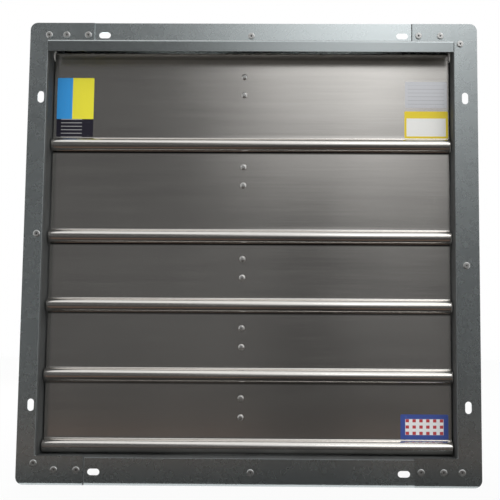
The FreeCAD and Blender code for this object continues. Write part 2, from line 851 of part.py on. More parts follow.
def fan_panel():
    """Shallow pan that closes the frame at the back, with a bell mouth and a throat for the propeller."""
    body = new_body("fan_panel", fan_x, 0, fan_z)
    sheet, rear, bell = dim.frame_sheet, dim.frame_depth, dim.bell_radius
    wide, high = panel_half_width, panel_half_height
    plate = new_sketch(body, "XZ", "plate", rear - sheet)
    draw_rectangle(plate, (-wide, wide), (-high, high))
    draw_circle(plate, 0, 0, throat_radius + bell)
    pad(body, plate, sheet, reverse=True)
    lips = new_sketch(body, "XZ", "lips", rear - dim.panel_lip)
    draw_rectangle(lips, (-wide, wide), (-high, high))
    draw_rectangle(lips, (sheet - wide, wide - sheet), (sheet - high, high - sheet))
    pad(body, lips, dim.panel_lip, reverse=True)
    throat = new_sketch(body, "YZ", "throat")
    inner, land = throat_radius, throat_land
    middle = (rear - bell, inner + bell)
    draw_outline(throat, [
        (dim.throat_front, inner),
        (rear - bell, inner),
        (rear, inner + bell, *middle),
        (rear, land),
        (rear - sheet, land),
        (rear - sheet, inner + bell),
        (rear - bell, inner + sheet, *middle),
        (dim.throat_front, inner + sheet),
    ])
    turn_round(body, throat)
    holes = new_sketch(body, "XZ", "bolt_holes")
    for x, z in spread(ARM_COUNT, foot_bolt_reach, 45.0):
        draw_circle(holes, x, z, dim.bolt_radius + dim.bolt_clearance)
    cut_through(body, holes)
    sides = new_sketch(body, "YZ", "side_holes")
    rims = new_sketch(body, "XY", "rim_holes")
    for level in (1, -1):
        draw_circle(sides, screw_plane, level * screw_half_height, screw_hole)
        draw_circle(rims, level * screw_half_width, screw_plane, screw_hole)
    cut_through(body, sides)
    cut_through(body, rims)
    finish(body, "fan_panel")


def panel_screws():
    """Screws through the frame walls into the fan panel's lips."""
    screws = []
    seats = ((0, -1, left_wall), (0, 1, right_wall), (2, -1, sill), (2, 1, ceiling))
    for axis, side, wall in seats:
        face = wall + side * dim.frame_sheet
        point = wall - side * (dim.rail_clearance + dim.frame_sheet + dim.panel_screw_point)
        crown = face + side * dim.panel_screw_head
        low, high = (face, crown) if side > 0 else (crown, face)
        near, far = (point, face) if side > 0 else (face, point)
        for level in (1, -1):
            across = (screw_plane, fan_z + level * screw_half_height)
            if axis == 2:
                across = (fan_x + level * screw_half_width, screw_plane)
            label = f"panel_screw_{len(screws) + 1}"
            screws.append(join(label, [
                cylinder(f"{label}_head", dim.panel_screw_head_radius, "XYZ"[axis], low, high, across),
                cylinder(f"{label}_shank", dim.panel_screw_radius, "XYZ"[axis], near, far, across),
            ]))
    finish(group("panel_screws", screws), "panel_screws")


def motor_arm(number, degrees):
    """Bent flat bar from a corner of the panel back and in to the motor plate."""
    name = f"motor_arm_{number}"
    body = new_body(name, fan_x, 0, fan_z, Rotation(Vector(0, 1, 0), -degrees))
    thick, bend, rear, foot = dim.arm_thickness, dim.arm_bend, arm_rear, dim.frame_depth
    leg, toe = arm_leg_reach, arm_leg_reach + dim.arm_foot
    outer = bend + thick
    strip = new_sketch(body, "XY", "strip")
    draw_outline(strip, [
        (toe, foot),
        (toe, foot + thick),
        (leg + outer, foot + thick),
        (leg + thick, foot + outer, leg + outer, foot + outer),
        (leg + thick, rear - outer),
        (leg - bend, rear, leg - bend, rear - outer),
        (arm_tip_reach, rear),
        (arm_tip_reach, rear - thick),
        (leg - bend, rear - thick),
        (leg, rear - outer, leg - bend, rear - outer),
        (leg, foot + outer),
        (leg + outer, foot, leg + outer, foot + outer),
    ])
    pad(body, strip, dim.arm_width, symmetric=True)
    holes = new_sketch(body, "XZ", "bolt_holes")
    for reach in (foot_bolt_reach, plate_bolt_reach):
        draw_circle(holes, reach, 0, dim.bolt_radius + dim.bolt_clearance)
    cut_through(body, holes)
    finish(body, name)


def bolt(label, across, head_face, nut_face, towards_front):
    """Bolt along Y with its head at one face and a nut at the other."""
    height, wide = dim.bolt_head, dim.bolt_head_radius
    low, high = (head_face, nut_face) if towards_front else (nut_face, head_face)
    return join(label, [
        cylinder(f"{label}_shank", dim.bolt_radius, "Y", low - height, high + height, across),
        hexagon(f"{label}_front", wide, low - height, low, across),
        hexagon(f"{label}_rear", wide, high, high + height, across),
    ])


def arm_bolts():
    bolts = []
    panel_front = dim.frame_depth - dim.frame_sheet
    foot_rear = dim.frame_depth + dim.arm_thickness
    for across in from_axis(spread(ARM_COUNT, foot_bolt_reach, 45.0)):
        bolts.append(bolt(f"arm_bolt_{len(bolts) + 1}", across, foot_rear, panel_front, False))
    for across in from_axis(spread(ARM_COUNT, plate_bolt_reach, 45.0)):
        label = f"arm_bolt_{len(bolts) + 1}"
        bolts.append(bolt(label, across, arm_rear - dim.arm_thickness, plate_rear, True))
    finish(group("arm_bolts", bolts), "arm_bolts")


def motor_plate():
    body = new_body("motor_plate", fan_x, 0, fan_z)
    disc = new_sketch(body, "XZ", "disc", arm_rear)
    draw_circle(disc, 0, 0, plate_radius)
    draw_circle(disc, 0, 0, dim.plate_bore_radius)
    places = spread(ARM_COUNT, plate_bolt_reach, 45.0) + spread(ARM_COUNT, stud_reach)
    for x, z in places:
        draw_circle(disc, x, z, dim.bolt_radius + dim.bolt_clearance)
    pad(body, disc, dim.plate_thickness, reverse=True)
    finish(body, "motor_plate")


def motor_bolts():
    """Bolts from the front through the motor plate into the bosses of the motor's front bell."""
    bolts = []
    for across in from_axis(spread(ARM_COUNT, stud_reach)):
        label = f"motor_bolt_{len(bolts) + 1}"
        tip = plate_rear + dim.stud_depth - dim.bolt_clearance
        bolts.append(join(label, [
            cylinder(f"{label}_shank", dim.bolt_radius, "Y", arm_rear, tip, across),
            hexagon(f"{label}_head", dim.bolt_head_radius, arm_rear - dim.bolt_head, arm_rear, across),
        ]))
    finish(group("motor_bolts", bolts), "motor_bolts")


def guard_rings():
    """Flat rings of wire, welded on the backs of the motor arms."""
    rings = []
    step = (throat_radius + dim.ring_overlap - ring_first) / (RING_COUNT - 1)
    for index in range(RING_COUNT):
        item = doc.addObject("Part::Torus", f"guard_ring_{index + 1}")
        bind(item, Radius1=ring_first + index * step, Radius2=dim.ring_wire / 2)
        place(item, fan_x, arm_rear + dim.ring_wire / 2 - dim.weld_depth, fan_z, TURNS["Y"])
        rings.append(item)
    finish(group("guard_rings", rings), "guard_rings")


def guard_spokes():
    """Bent wires over the rings, each with a leg that stands on the fan panel."""
    spokes = []
    plane = arm_rear + dim.ring_wire + dim.spoke_wire / 2 - 2 * dim.weld_depth
    radius, bend = dim.spoke_wire / 2, dim.spoke_bend
    leg = throat_land + radius
    for index in range(SPOKE_COUNT):
        label = f"guard_spoke_{index + 1}"
        elbow = doc.addObject("Part::Torus", f"{label}_bend")
        bind(elbow, Radius1=bend, Radius2=radius)
        elbow.Angle3 = 90
        place(elbow, leg - bend, plane - bend, 0)
        spoke = join(label, [
            cylinder(f"{label}_run", radius, "X", ring_first - dim.spoke_overrun, leg - bend, (plane, 0)),
            elbow,
            cylinder(f"{label}_leg", radius, "Y", dim.frame_depth, plane - bend, (leg, 0)),
        ])
        turn = Rotation(Vector(0, 1, 0), 360.0 * index / SPOKE_COUNT)
        spokes.append(place(spoke, fan_x, 0, fan_z, turn))
    finish(group("guard_spokes", spokes), "guard_spokes")


# Motor

def bell_ears(body, start):
    """Lugs on a bell's rim for the through bolts."""
    ears = new_sketch(body, "XZ", "ears", start)
    holes = new_sketch(body, "XZ", "ear_holes")
    for x, z in spread(ARM_COUNT, tie_bolt_reach, 45.0):
        draw_circle(ears, x, z, dim.tie_ear_radius)
        draw_circle(holes, x, z, dim.tie_bolt_radius + dim.bolt_clearance)
    pad(body, ears, dim.tie_ear_length, reverse=True)
    cut_through(body, holes)


def bell_profile(body, face, rim, sign, hole):
    """Cup-shaped bell with a bearing seat: face is its closed end, rim its open end."""
    wall, edge, outer = dim.motor_wall, dim.bell_edge, dim.motor_radius
    floor, seat = face + sign * wall, face + sign * (wall + dim.bearing_length)
    sketch = new_sketch(body, "YZ", "profile")
    draw_outline(sketch, [
        (face, hole),
        (face, outer - edge),
        (face + sign * edge, outer, face + sign * edge, outer - edge),
        (rim, outer),
        (rim, motor_bore),
        (floor, motor_bore),
        (floor, dim.boss_radius),
        (seat, dim.boss_radius),
        (seat, dim.bearing_radius),
        (floor, dim.bearing_radius),
        (floor, hole),
    ])
    turn_round(body, sketch)


def motor_bells():
    front = new_body("motor_front_bell", fan_x, 0, fan_z)
    bell_profile(front, motor_front, shell_front, 1, dim.shaft_hole_radius)
    bosses = new_sketch(front, "XZ", "bosses", plate_rear)
    studs = new_sketch(front, "XZ", "stud_holes", plate_rear)
    for x, z in spread(ARM_COUNT, stud_reach):
        draw_circle(bosses, x, z, dim.stud_boss_radius)
        draw_circle(studs, x, z, dim.bolt_radius + dim.bolt_clearance)
    pad(front, bosses, dim.motor_standoff + dim.motor_wall, reverse=True)
    bell_ears(front, shell_front - dim.tie_ear_length)
    cut_depth(front, studs, dim.stud_depth)
    finish(front, "motor_front_bell")
    rear = new_body("motor_rear_bell", fan_x, 0, fan_z)
    bell_profile(rear, motor_rear, shell_rear, -1, Size.of(0))
    bell_ears(rear, shell_rear)
    finish(rear, "motor_rear_bell")


def motor_inside():
    axis = (fan_x, fan_z)
    shell = ring("motor_shell", dim.motor_radius, motor_bore, shell_front, shell_rear, axis)
    finish(shell, "motor_shell")
    core_outer = motor_bore - dim.core_clearance
    core_inner = dim.rotor_radius + dim.air_gap
    winding_radius = (core_outer - core_inner) / 2 - dim.winding_margin
    finish(ring("stator_core", core_outer, core_inner, core_front, core_rear, axis), "stator_core")
    heads = []
    for label, face, sign in (("front", core_front, -1), ("rear", core_rear, 1)):
        head = doc.addObject("Part::Torus", f"winding_{label}")
        bind(head, Radius1=(core_outer + core_inner) / 2, Radius2=winding_radius)
        heads.append(place(head, fan_x, face + sign * winding_radius, fan_z, TURNS["Y"]))
    finish(group("stator_windings", heads), "stator_windings")
    outside, bore = dim.bearing_radius - dim.hub_clearance, dim.shaft_radius + dim.bearing_clearance
    seats = (("front_bearing", front_seat), ("rear_bearing", rear_seat - dim.bearing_length))
    for name, start in seats:
        finish(ring(name, outside, bore, start, start + dim.bearing_length, axis), name)


def through_bolts():
    """Long bolts beside the shell that pull the two bells together."""
    bolts = []
    for across in from_axis(spread(ARM_COUNT, tie_bolt_reach, 45.0)):
        label = f"through_bolt_{len(bolts) + 1}"
        front, rear = shell_front - dim.tie_ear_length, shell_rear + dim.tie_ear_length
        height = dim.bolt_head
        bolts.append(join(label, [
            cylinder(f"{label}_shank", dim.tie_bolt_radius, "Y", front - height, rear + height, across),
            hexagon(f"{label}_nut", dim.bolt_head_radius, front - height, front, across),
            hexagon(f"{label}_head", dim.bolt_head_radius, rear, rear + height, across),
        ]))
    finish(group("through_bolts", bolts), "through_bolts")


def terminal_box():
    """Box saddled on the motor shell, with a cover, screws and a bush for the supply cable."""
    half, wall, middle = dim.box_size / 2, dim.box_wall, (shell_front + shell_rear) / 2
    crown = fan_z + dim.motor_radius
    floor, top = crown + dim.box_floor, crown + dim.box_height
    cover_top, screw_tip = top + wall, top - dim.cover_screw_depth

    def block(name, margin, low, high):
        reach = half + margin
        return box(name, (fan_x - reach, fan_x + reach), (middle - reach, middle + reach), (low, high))

    saddle = cylinder("box_saddle", dim.motor_radius, "Y", shell_front, shell_rear, (fan_x, fan_z))
    outside = cut("box_block", block("box_outside", Size.of(0), crown - dim.motor_wall, top), saddle)
    pieces = [cut("box_shell", outside, block("box_inside", -wall, floor, top))]
    screws = []
    holes = []
    post_reach = half - wall - dim.box_post_radius / 2
    for side in (1, -1):
        across = (fan_x + side * post_reach, middle + side * post_reach)
        label = f"terminal_screw_{len(screws) + 1}"
        bore = dim.cover_screw_radius + dim.rivet_clearance
        head_top = cover_top + dim.cover_screw_head
        pieces.append(cylinder(f"{label}_post", dim.box_post_radius, "Z", floor - wall, top, across))
        holes.append(cylinder(f"{label}_hole", bore, "Z", screw_tip, cover_top, across))
        screws.append(join(label, [
            cylinder(f"{label}_shank", dim.cover_screw_radius, "Z", screw_tip, cover_top, across),
            cylinder(f"{label}_head", dim.cover_screw_head_radius, "Z", cover_top, head_top, across),
        ]))
    screw_holes = group("box_screw_holes", holes)
    rear, entry = middle + half, (fan_x, (floor + top) / 2)
    cable_hole = cylinder("box_cable_hole", dim.cable_bush_radius, "Y", rear - wall, rear, entry)
    all_holes = group("box_holes", [cable_hole, screw_holes])
    finish(cut("terminal_box", join("box_with_posts", pieces), all_holes), "terminal_box")
    cover = block("cover_sheet", dim.cover_overhang, top, cover_top)
    finish(cut("terminal_cover", cover, screw_holes), "terminal_cover")
    finish(group("terminal_screws", screws), "terminal_screws")
    cable_bush(rear, entry)


def cable_bush(rear, entry):
    """Flanged bush in the terminal box's rear wall, open for a supply cable."""
    inner, outer = rear - dim.cable_bush_length, rear + dim.cable_bush_flange
    barrel = dim.cable_bush_radius - dim.rivet_clearance
    bush = join("cable_bush_outside", [
        cylinder("cable_bush_barrel", barrel, "Y", inner, rear, entry),
        cylinder("cable_bush_collar", dim.cable_bush_flange_radius, "Y", rear, outer, entry),
    ])
    bore = cylinder("cable_bush_bore", dim.cable_radius, "Y", inner, outer, entry)
    finish(cut("cable_bush", bush, bore), "cable_bush")


def capacitor():
    """Run capacitor beside the motor shell, held in a strap with a saddle foot."""
    reach = dim.motor_radius + dim.capacitor_gap + dim.strap_sheet + dim.capacitor_radius
    across = (fan_x - reach, fan_z)
    middle = (shell_front + shell_rear) / 2
    half = dim.capacitor_length / 2
    can = cylinder("capacitor_can", dim.capacitor_radius, "Y", middle - half, middle + half, across)
    finish(can, "capacitor")
    grip = dim.strap_width / 2
    span = (middle - grip, middle + grip)
    bore = dim.capacitor_radius + dim.rivet_clearance
    band = cylinder("strap_band", bore + dim.strap_sheet, "Y", *span, across)
    foot = box("strap_foot", (fan_x - reach, fan_x - motor_bore), span, (fan_z - grip, fan_z + grip))
    hole = cylinder("strap_bore", bore, "Y", *span, across)
    saddle = cylinder("strap_saddle", dim.motor_radius, "Y", *span, (fan_x, fan_z))
    strap = cut("capacitor_strap", join("strap_solid", [band, foot]), group("strap_cuts", [hole, saddle]))
    finish(strap, "capacitor_strap")


# Turning parts

def shaft_and_rotor():
    axis = (fan_x, fan_z)
    tail = rear_seat - dim.shaft_end_gap
    finish(cylinder("motor_shaft", dim.shaft_radius, "Y", hub_front, tail, axis), "motor_shaft")
    bore = dim.shaft_radius + dim.hub_clearance
    finish(ring("rotor_core", dim.rotor_radius, bore, core_front, core_rear, axis), "rotor_core")
    hub = ring("propeller_hub", dim.hub_radius, bore, hub_front, hub_front + dim.hub_length, axis)
    finish(hub, "propeller_hub")


def vane_turn(index):
    """Turn of one vane: pitched about its own length, then set round the axis."""
    return Rotation(Vector(0, 1, 0), 360.0 * index / VANE_COUNT) * Rotation(Vector(1, 0, 0), VANE_PITCH)


def vane_body(name, index):
    return new_body(name, fan_x, dim.propeller_place, fan_z, vane_turn(index))


def vane_rivet_places():
    first, last, aside = dim.vane_rivet_first, dim.vane_rivet_last, dim.vane_rivet_spread
    return [(first, Size.of(0)), (last, aside), (last, -aside)]


def vane_holes(body):
    holes = new_sketch(body, "XZ", "rivet_holes")
    for x, z in vane_rivet_places():
        draw_circle(holes, x, z, dim.rivet_shank_radius + dim.rivet_clearance)
    cut_through(body, holes)


def vane_section(body, name, reach, chord, degrees, camber):
    """Section of a vane at a distance from the axis: an arched strip of sheet, turned by some degrees."""
    sketch = new_sketch(body, "YZ", name, reach)
    slope, level = math.sin(math.radians(degrees)), math.cos(math.radians(degrees))
    radius = (chord * chord / 4 + camber * camber) / (2 * camber)
    low = (vane_seat - chord / 2 * slope, -(chord / 2) * level)
    high = (vane_seat + chord / 2 * slope, chord / 2 * level)
    middle = (vane_seat + (camber - radius) * level, -(camber - radius) * slope)
    shift = (dim.vane_sheet * level, -dim.vane_sheet * slope)
    draw_outline(sketch, [
        low,
        (*high, *middle),
        (high[0] + shift[0], high[1] + shift[1]),
        (low[0] + shift[0], low[1] + shift[1], middle[0] + shift[0], middle[1] + shift[1]),
    ])
    return sketch


def vane(index):
    """Sheet vane: flat where it is riveted to the spider, arched and less pitched towards the tip."""
    body = vane_body(f"vane_{index + 1}_sheet", index)
    sections = []
    flats = ((dim.vane_root_reach, dim.vane_root_chord), (dim.vane_seat_reach, dim.vane_seat_chord))
    for order, (reach, chord) in enumerate(flats):
        flat = new_sketch(body, "YZ", f"flat_{order + 1}", reach)
        draw_outline(flat, [
            (vane_seat, -chord / 2),
            (vane_seat, chord / 2),
            (vane_seat + dim.vane_sheet, chord / 2),
            (vane_seat + dim.vane_sheet, -chord / 2),
        ])
        sections.append(flat)
    tip_reach = propeller_radius + dim.vane_overrun
    arches = (
        ("middle", dim.vane_middle_reach, dim.vane_middle_chord, VANE_MIDDLE_TWIST, dim.vane_middle_camber),
        ("tip", tip_reach, dim.vane_tip_chord, VANE_TIP_TWIST, dim.vane_tip_camber),
    )
    sections += [vane_section(body, *arch) for arch in arches]
    loft = body.newObject("PartDesign::AdditiveLoft", f"vane_{index + 1}_loft")
    loft.Profile = sections[0]
    loft.Sections = sections[1:]
    loft.Ruled = True
    vane_holes(body)
    return body


def spider_arm(index):
    """Pitched arm of the spider, rooted in its ring."""
    body = vane_body(f"spider_arm_{index + 1}", index)
    blank = new_sketch(body, "XZ", "blank")
    aside = dim.spider_arm_width / 2
    root = (dim.hub_radius + dim.spider_ring_radius) / 2
    draw_rectangle(blank, (root, dim.spider_arm_reach), (-aside, aside))
    pad(body, blank, dim.spider_sheet, symmetric=True)
    vane_holes(body)
    return body


def vane_rivets(index):
    """Rivets that hold one vane on its arm, with a flat head on each side."""
    body = vane_body(f"vane_rivets_{index + 1}", index)
    heads = new_sketch(body, "XZ", "heads", -vane_seat)
    shanks = new_sketch(body, "XZ", "shanks", -vane_seat)
    tails = new_sketch(body, "XZ", "tails", vane_seat + dim.vane_sheet)
    for x, z in vane_rivet_places():
        draw_circle(heads, x, z, dim.rivet_head_radius)
        draw_circle(shanks, x, z, dim.rivet_shank_radius)
        draw_circle(tails, x, z, dim.rivet_head_radius)
    pad(body, heads, dim.rivet_head_height)
    pad(body, shanks, dim.spider_sheet + dim.vane_sheet, reverse=True)
    pad(body, tails, dim.rivet_head_height, reverse=True)
    return body


def propeller():
    """Four vanes riveted to the arms of a spider on the hub, trimmed round to the propeller's radius."""
    axis, middle, half = (fan_x, fan_z), dim.propeller_place, dim.spider_ring_length / 2
    bore = dim.hub_radius + dim.hub_clearance
    spider = [ring("spider_ring", dim.spider_ring_radius, bore, middle - half, middle + half, axis)]
    vanes = []
    for index in range(VANE_COUNT):
        spider.append(spider_arm(index))
        label = f"vane_{index + 1}"
        trimmed = doc.addObject("Part::Common", label)
        trimmed.Base = vane(index)
        trimmed.Tool = cylinder(f"{label}_trim", propeller_radius, "Y", dim.throat_front, arm_rear, axis)
        vanes.append(trimmed)
    finish(join("propeller_spider", spider), "propeller_spider")
    finish(group("propeller_blades", vanes), "propeller_blades")
    rivets = [vane_rivets(index) for index in range(VANE_COUNT)]
    finish(group("propeller_rivets", rivets), "propeller_rivets")


def build():
    side_channel("left_side_channel", -1, left_wall)
    side_channel("right_side_channel", 1, right_wall)
    rail("top_rail", 1, ceiling)
    rail("bottom_rail", -1, sill)
    drip_hood()
    frame_rivets()
    pivot_bushes()
    shutter()
    fan_panel()
    panel_screws()
    for index in range(ARM_COUNT):
        motor_arm(index + 1, 45.0 + 360.0 * index / ARM_COUNT)
    arm_bolts()
    motor_plate()
    motor_bolts()
    guard_rings()
    guard_spokes()
    motor_bells()
    motor_inside()
    through_bolts()
    terminal_box()
    capacitor()
    shaft_and_rotor()
    propeller()


def check():
    """Stop if any object failed, or a piece is empty or not a valid shape."""
    for item in doc.Objects:
        if "Invalid" in item.State or "Error" in item.State:
            raise RuntimeError(f"{item.Label} failed: {item.State}")
    for node in nodes:
        if node.Shape.isNull() or not node.Shape.isValid() or not node.Shape.Solids:
            raise RuntimeError(f"{node.Label} has no valid solid")


build()
doc.recompute()
check()
os.makedirs("parts", exist_ok=True)
for node in nodes:
    node.Shape.exportStep(f"parts/{node.Label}.step")
print(len(nodes), "pieces,", sum(len(node.Shape.Solids) for node in nodes), "solids")
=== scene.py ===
import json
import logging
import math
from dataclasses import dataclass, field
from enum import Enum, IntEnum
from functools import reduce
from typing import Callable

import bmesh
import bpy
from mathutils import Euler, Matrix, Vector

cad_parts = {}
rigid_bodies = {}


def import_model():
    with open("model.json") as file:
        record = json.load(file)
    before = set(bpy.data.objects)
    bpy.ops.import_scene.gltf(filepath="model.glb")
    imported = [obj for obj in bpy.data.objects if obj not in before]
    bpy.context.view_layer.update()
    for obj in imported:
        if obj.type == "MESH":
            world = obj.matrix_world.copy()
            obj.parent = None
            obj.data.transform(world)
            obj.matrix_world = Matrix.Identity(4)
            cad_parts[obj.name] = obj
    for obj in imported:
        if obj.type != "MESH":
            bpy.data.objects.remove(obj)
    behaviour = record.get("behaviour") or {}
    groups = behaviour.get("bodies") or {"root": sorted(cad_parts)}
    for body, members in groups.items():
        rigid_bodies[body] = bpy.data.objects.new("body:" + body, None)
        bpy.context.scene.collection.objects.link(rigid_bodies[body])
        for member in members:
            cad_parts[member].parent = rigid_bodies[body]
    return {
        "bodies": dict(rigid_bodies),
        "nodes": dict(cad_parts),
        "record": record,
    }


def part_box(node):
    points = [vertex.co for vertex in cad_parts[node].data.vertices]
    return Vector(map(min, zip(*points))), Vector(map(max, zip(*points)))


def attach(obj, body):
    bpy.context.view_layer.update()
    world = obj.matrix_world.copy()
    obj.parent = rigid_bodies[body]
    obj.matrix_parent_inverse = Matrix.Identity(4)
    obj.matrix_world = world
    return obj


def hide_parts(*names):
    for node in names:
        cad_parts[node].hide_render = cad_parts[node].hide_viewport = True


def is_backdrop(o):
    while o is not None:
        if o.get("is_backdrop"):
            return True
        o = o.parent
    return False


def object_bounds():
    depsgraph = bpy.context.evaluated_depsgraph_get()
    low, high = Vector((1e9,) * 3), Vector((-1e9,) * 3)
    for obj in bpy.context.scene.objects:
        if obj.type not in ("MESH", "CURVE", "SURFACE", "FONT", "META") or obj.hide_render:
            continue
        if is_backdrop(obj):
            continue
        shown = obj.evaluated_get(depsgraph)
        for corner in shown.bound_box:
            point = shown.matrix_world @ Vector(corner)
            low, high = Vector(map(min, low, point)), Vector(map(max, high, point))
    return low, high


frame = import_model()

log = logging.getLogger("shutter_exhaust_fan")

MM = 0.001
TURN = 2.0 * math.pi
QUARTER = math.pi / 2.0
MERGE_LIMIT = 1e-6
SMOOTH_LIMIT = math.radians(40.0)
SMOOTHLY = {"interpolation_type": "SMOOTHSTEP"}
HOUSING = "housing"

Colour = tuple[float, float, float]
Place = tuple[float, float, float]
Span = tuple[float, float]
Zone = tuple[tuple[int, float, float], ...]


class Axis(IntEnum):
    """Axes of the shared frame."""

    X = 0
    Y = 1
    Z = 2


def operator(name: str, swapped: bool = False) -> Callable[..., "Signal"]:
    """Make a method of signals from an operation.

    Args:
        name: Operation of a Math node.
        swapped: Whether the signal comes after the other value.

    Returns:
        The method, which takes another signal or number where the operation needs one.
    """
    def method(self: "Signal", *others: "Signal | float") -> "Signal":
        """Add the Math node and return its result."""
        values = (*others, self) if swapped else (self, *others)
        return self.net.add("ShaderNodeMath", *values, settings={"operation": name})
    return method


class Signal:
    """A node's output socket that takes part in Python expressions."""

    __add__, __radd__ = operator("ADD"), operator("ADD", swapped=True)
    __sub__, __rsub__ = operator("SUBTRACT"), operator("SUBTRACT", swapped=True)
    __mul__, __rmul__ = operator("MULTIPLY"), operator("MULTIPLY", swapped=True)
    __truediv__ = operator("DIVIDE")
    sin, cos, size = operator("SINE"), operator("COSINE"), operator("ABSOLUTE")
    largest, smallest = operator("MAXIMUM"), operator("MINIMUM")

    def __init__(self, net: "Net", socket: bpy.types.NodeSocket) -> None:
        """Wrap one output socket of a node tree."""
        self.net = net
        self.socket = socket

    def step(self, low: float, high: float) -> "Signal":
        """Ease from 0 at the first value to 1 at the second, which may be the lower one."""
        eased = self.net.add("ShaderNodeMapRange", self, *sorted((low, high)), settings=SMOOTHLY)
        return eased if low <= high else 1.0 - eased


Value = Signal | float


class Net:
    """A node tree that is being written."""

    def __init__(self, tree: bpy.types.NodeTree) -> None:
        """Start on a node tree."""
        self.tree = tree

    def fill(self, socket: bpy.types.NodeSocket, value: object) -> None:
        """Link a signal into a socket, or set the socket's value unless that is None."""
        if isinstance(value, Signal):
            self.tree.links.new(value.socket, socket)
        elif value is not None:
            socket.default_value = value

    def add(self, kind: str, *values: object, settings: dict[str, object] | None = None,
            output: str | int = 0, **named: object) -> Signal | None:
        """Add a node.

        Args:
            kind: Type name of the node.
            values: Values or signals of its sockets in order; None leaves a socket as it is.
            settings: The node's own settings, set first.
            output: Socket that is wanted, by name or number.
            named: Values or signals by socket, with underscores for blanks; a list fills a socket several times.

        Returns:
            That output socket as a signal, or None where the node has no outputs.
        """
        node = self.tree.nodes.new(kind)
        for name, value in (settings or {}).items():
            setattr(node, name, value)
        for name, value in [*enumerate(values), *named.items()]:
            socket = node.inputs[name if isinstance(name, int) else name.replace("_", " ")]
            for each in value if isinstance(value, list) else [value]:
                self.fill(socket, each)
        return Signal(self, node.outputs[output]) if node.outputs else None

    def blend(self, factor: Value, low: Signal | Colour, high: Signal | Colour) -> Signal:
        """Mix two colours by the share of the second; the node's five sockets for other kinds stay as they are."""
        pair = [each if isinstance(each, Signal) else (*each, 1.0) for each in (low, high)]
        return self.add("ShaderNodeMix", factor, *[None] * 5, *pair, settings={"data_type": "RGBA"}, output=2)

    def vector(self, x: Value, y: Value, z: Value) -> Signal:
        """Join three numbers into a vector."""
        return self.add("ShaderNodeCombineXYZ", x, y, z)

    def parts(self, vector: Signal) -> tuple[Signal, Signal, Signal]:
        """Split a vector into its three numbers."""
        outputs = self.add("ShaderNodeSeparateXYZ", vector).socket.node.outputs
        return tuple(Signal(self, socket) for socket in outputs)


class Surface(Net):
    """The node tree of one material, with its shader."""

    def __init__(self, name: str) -> None:
        """Make a material with a plain shader."""
        self.material = bpy.data.materials.new(name)
        self.material.use_nodes = True
        super().__init__(self.material.node_tree)
        self.shader = self.tree.nodes["Principled BSDF"]
        self.place = self.add("ShaderNodeTexCoord", output="Object")
        self.axes = self.parts(self.place)

    def set(self, **sockets: Value | Colour) -> None:
        """Give the shader's sockets their values; underscores in names stand for blanks."""
        for name, value in sockets.items():
            plain = (*value, 1.0) if isinstance(value, tuple) else value
            self.fill(self.shader.inputs[name.replace("_", " ")], plain)

    def dress(self, colour: Signal, roughness: Signal, relief: Signal, strength: float, depth: float) -> None:
        """Give the shader its colour, its roughness and a relief of some strength and depth in metres."""
        normal = self.add("ShaderNodeBump", Strength=strength, Distance=depth, Height=relief)
        self.set(Base_Color=colour, Roughness=roughness, Normal=normal)

    def show(self, shader: Signal) -> None:
        """Put another shader on the surface."""
        self.fill(self.tree.nodes["Material Output"].inputs["Surface"], shader)

    def scaled(self, x: float, y: float, z: float) -> Signal:
        """Object coordinates with each axis multiplied."""
        return self.add("ShaderNodeVectorMath", self.place, (x, y, z), settings={"operation": "MULTIPLY"})

    def noise(self, scale: float, detail: float, place: Signal | None = None) -> Signal:
        """Smooth noise from 0 to 1, by its lumps to a metre and octaves of finer lumps."""
        where = place or self.place
        return self.add("ShaderNodeTexNoise", Vector=where, Scale=scale, Detail=detail, output="Fac")

    def zone(self, limits: Zone) -> Signal:
        """1 in a zone and 0 outside; each limit has its axis, where the zone starts and where it is full."""
        return reduce(Signal.__mul__, [self.axes[axis].step(start, full) for axis, start, full in limits])


def toned(colour: Colour, share: float) -> Colour:
    """A colour made darker or lighter."""
    return tuple(min(1.0, channel * share) for channel in colour)


@dataclass(frozen=True)
class Finish:
    """A surface finish: colour, gloss and the fine relief that it shows."""

    name: str
    colour: Colour
    roughness: float
    metallic: float = 1.0

    def material(self) -> bpy.types.Material:
        """Make the material once and return it."""
        label = f"{self.name}_finish"
        if label not in bpy.data.materials:
            surface = Surface(label)
            surface.set(Metallic=self.metallic)
            self.shade(surface)
        return bpy.data.materials[label]

    def tone(self, surface: Surface, amount: Signal, spread: float) -> Signal:
        """Darken and lighten the finish's colour by a share, where the amount is 0 and 1."""
        return surface.blend(amount, toned(self.colour, 1.0 - spread), toned(self.colour, 1.0 + spread))

    def shade(self, surface: Surface) -> None:
        """Write the look into a material; every kind of finish has its own."""
        raise NotImplementedError


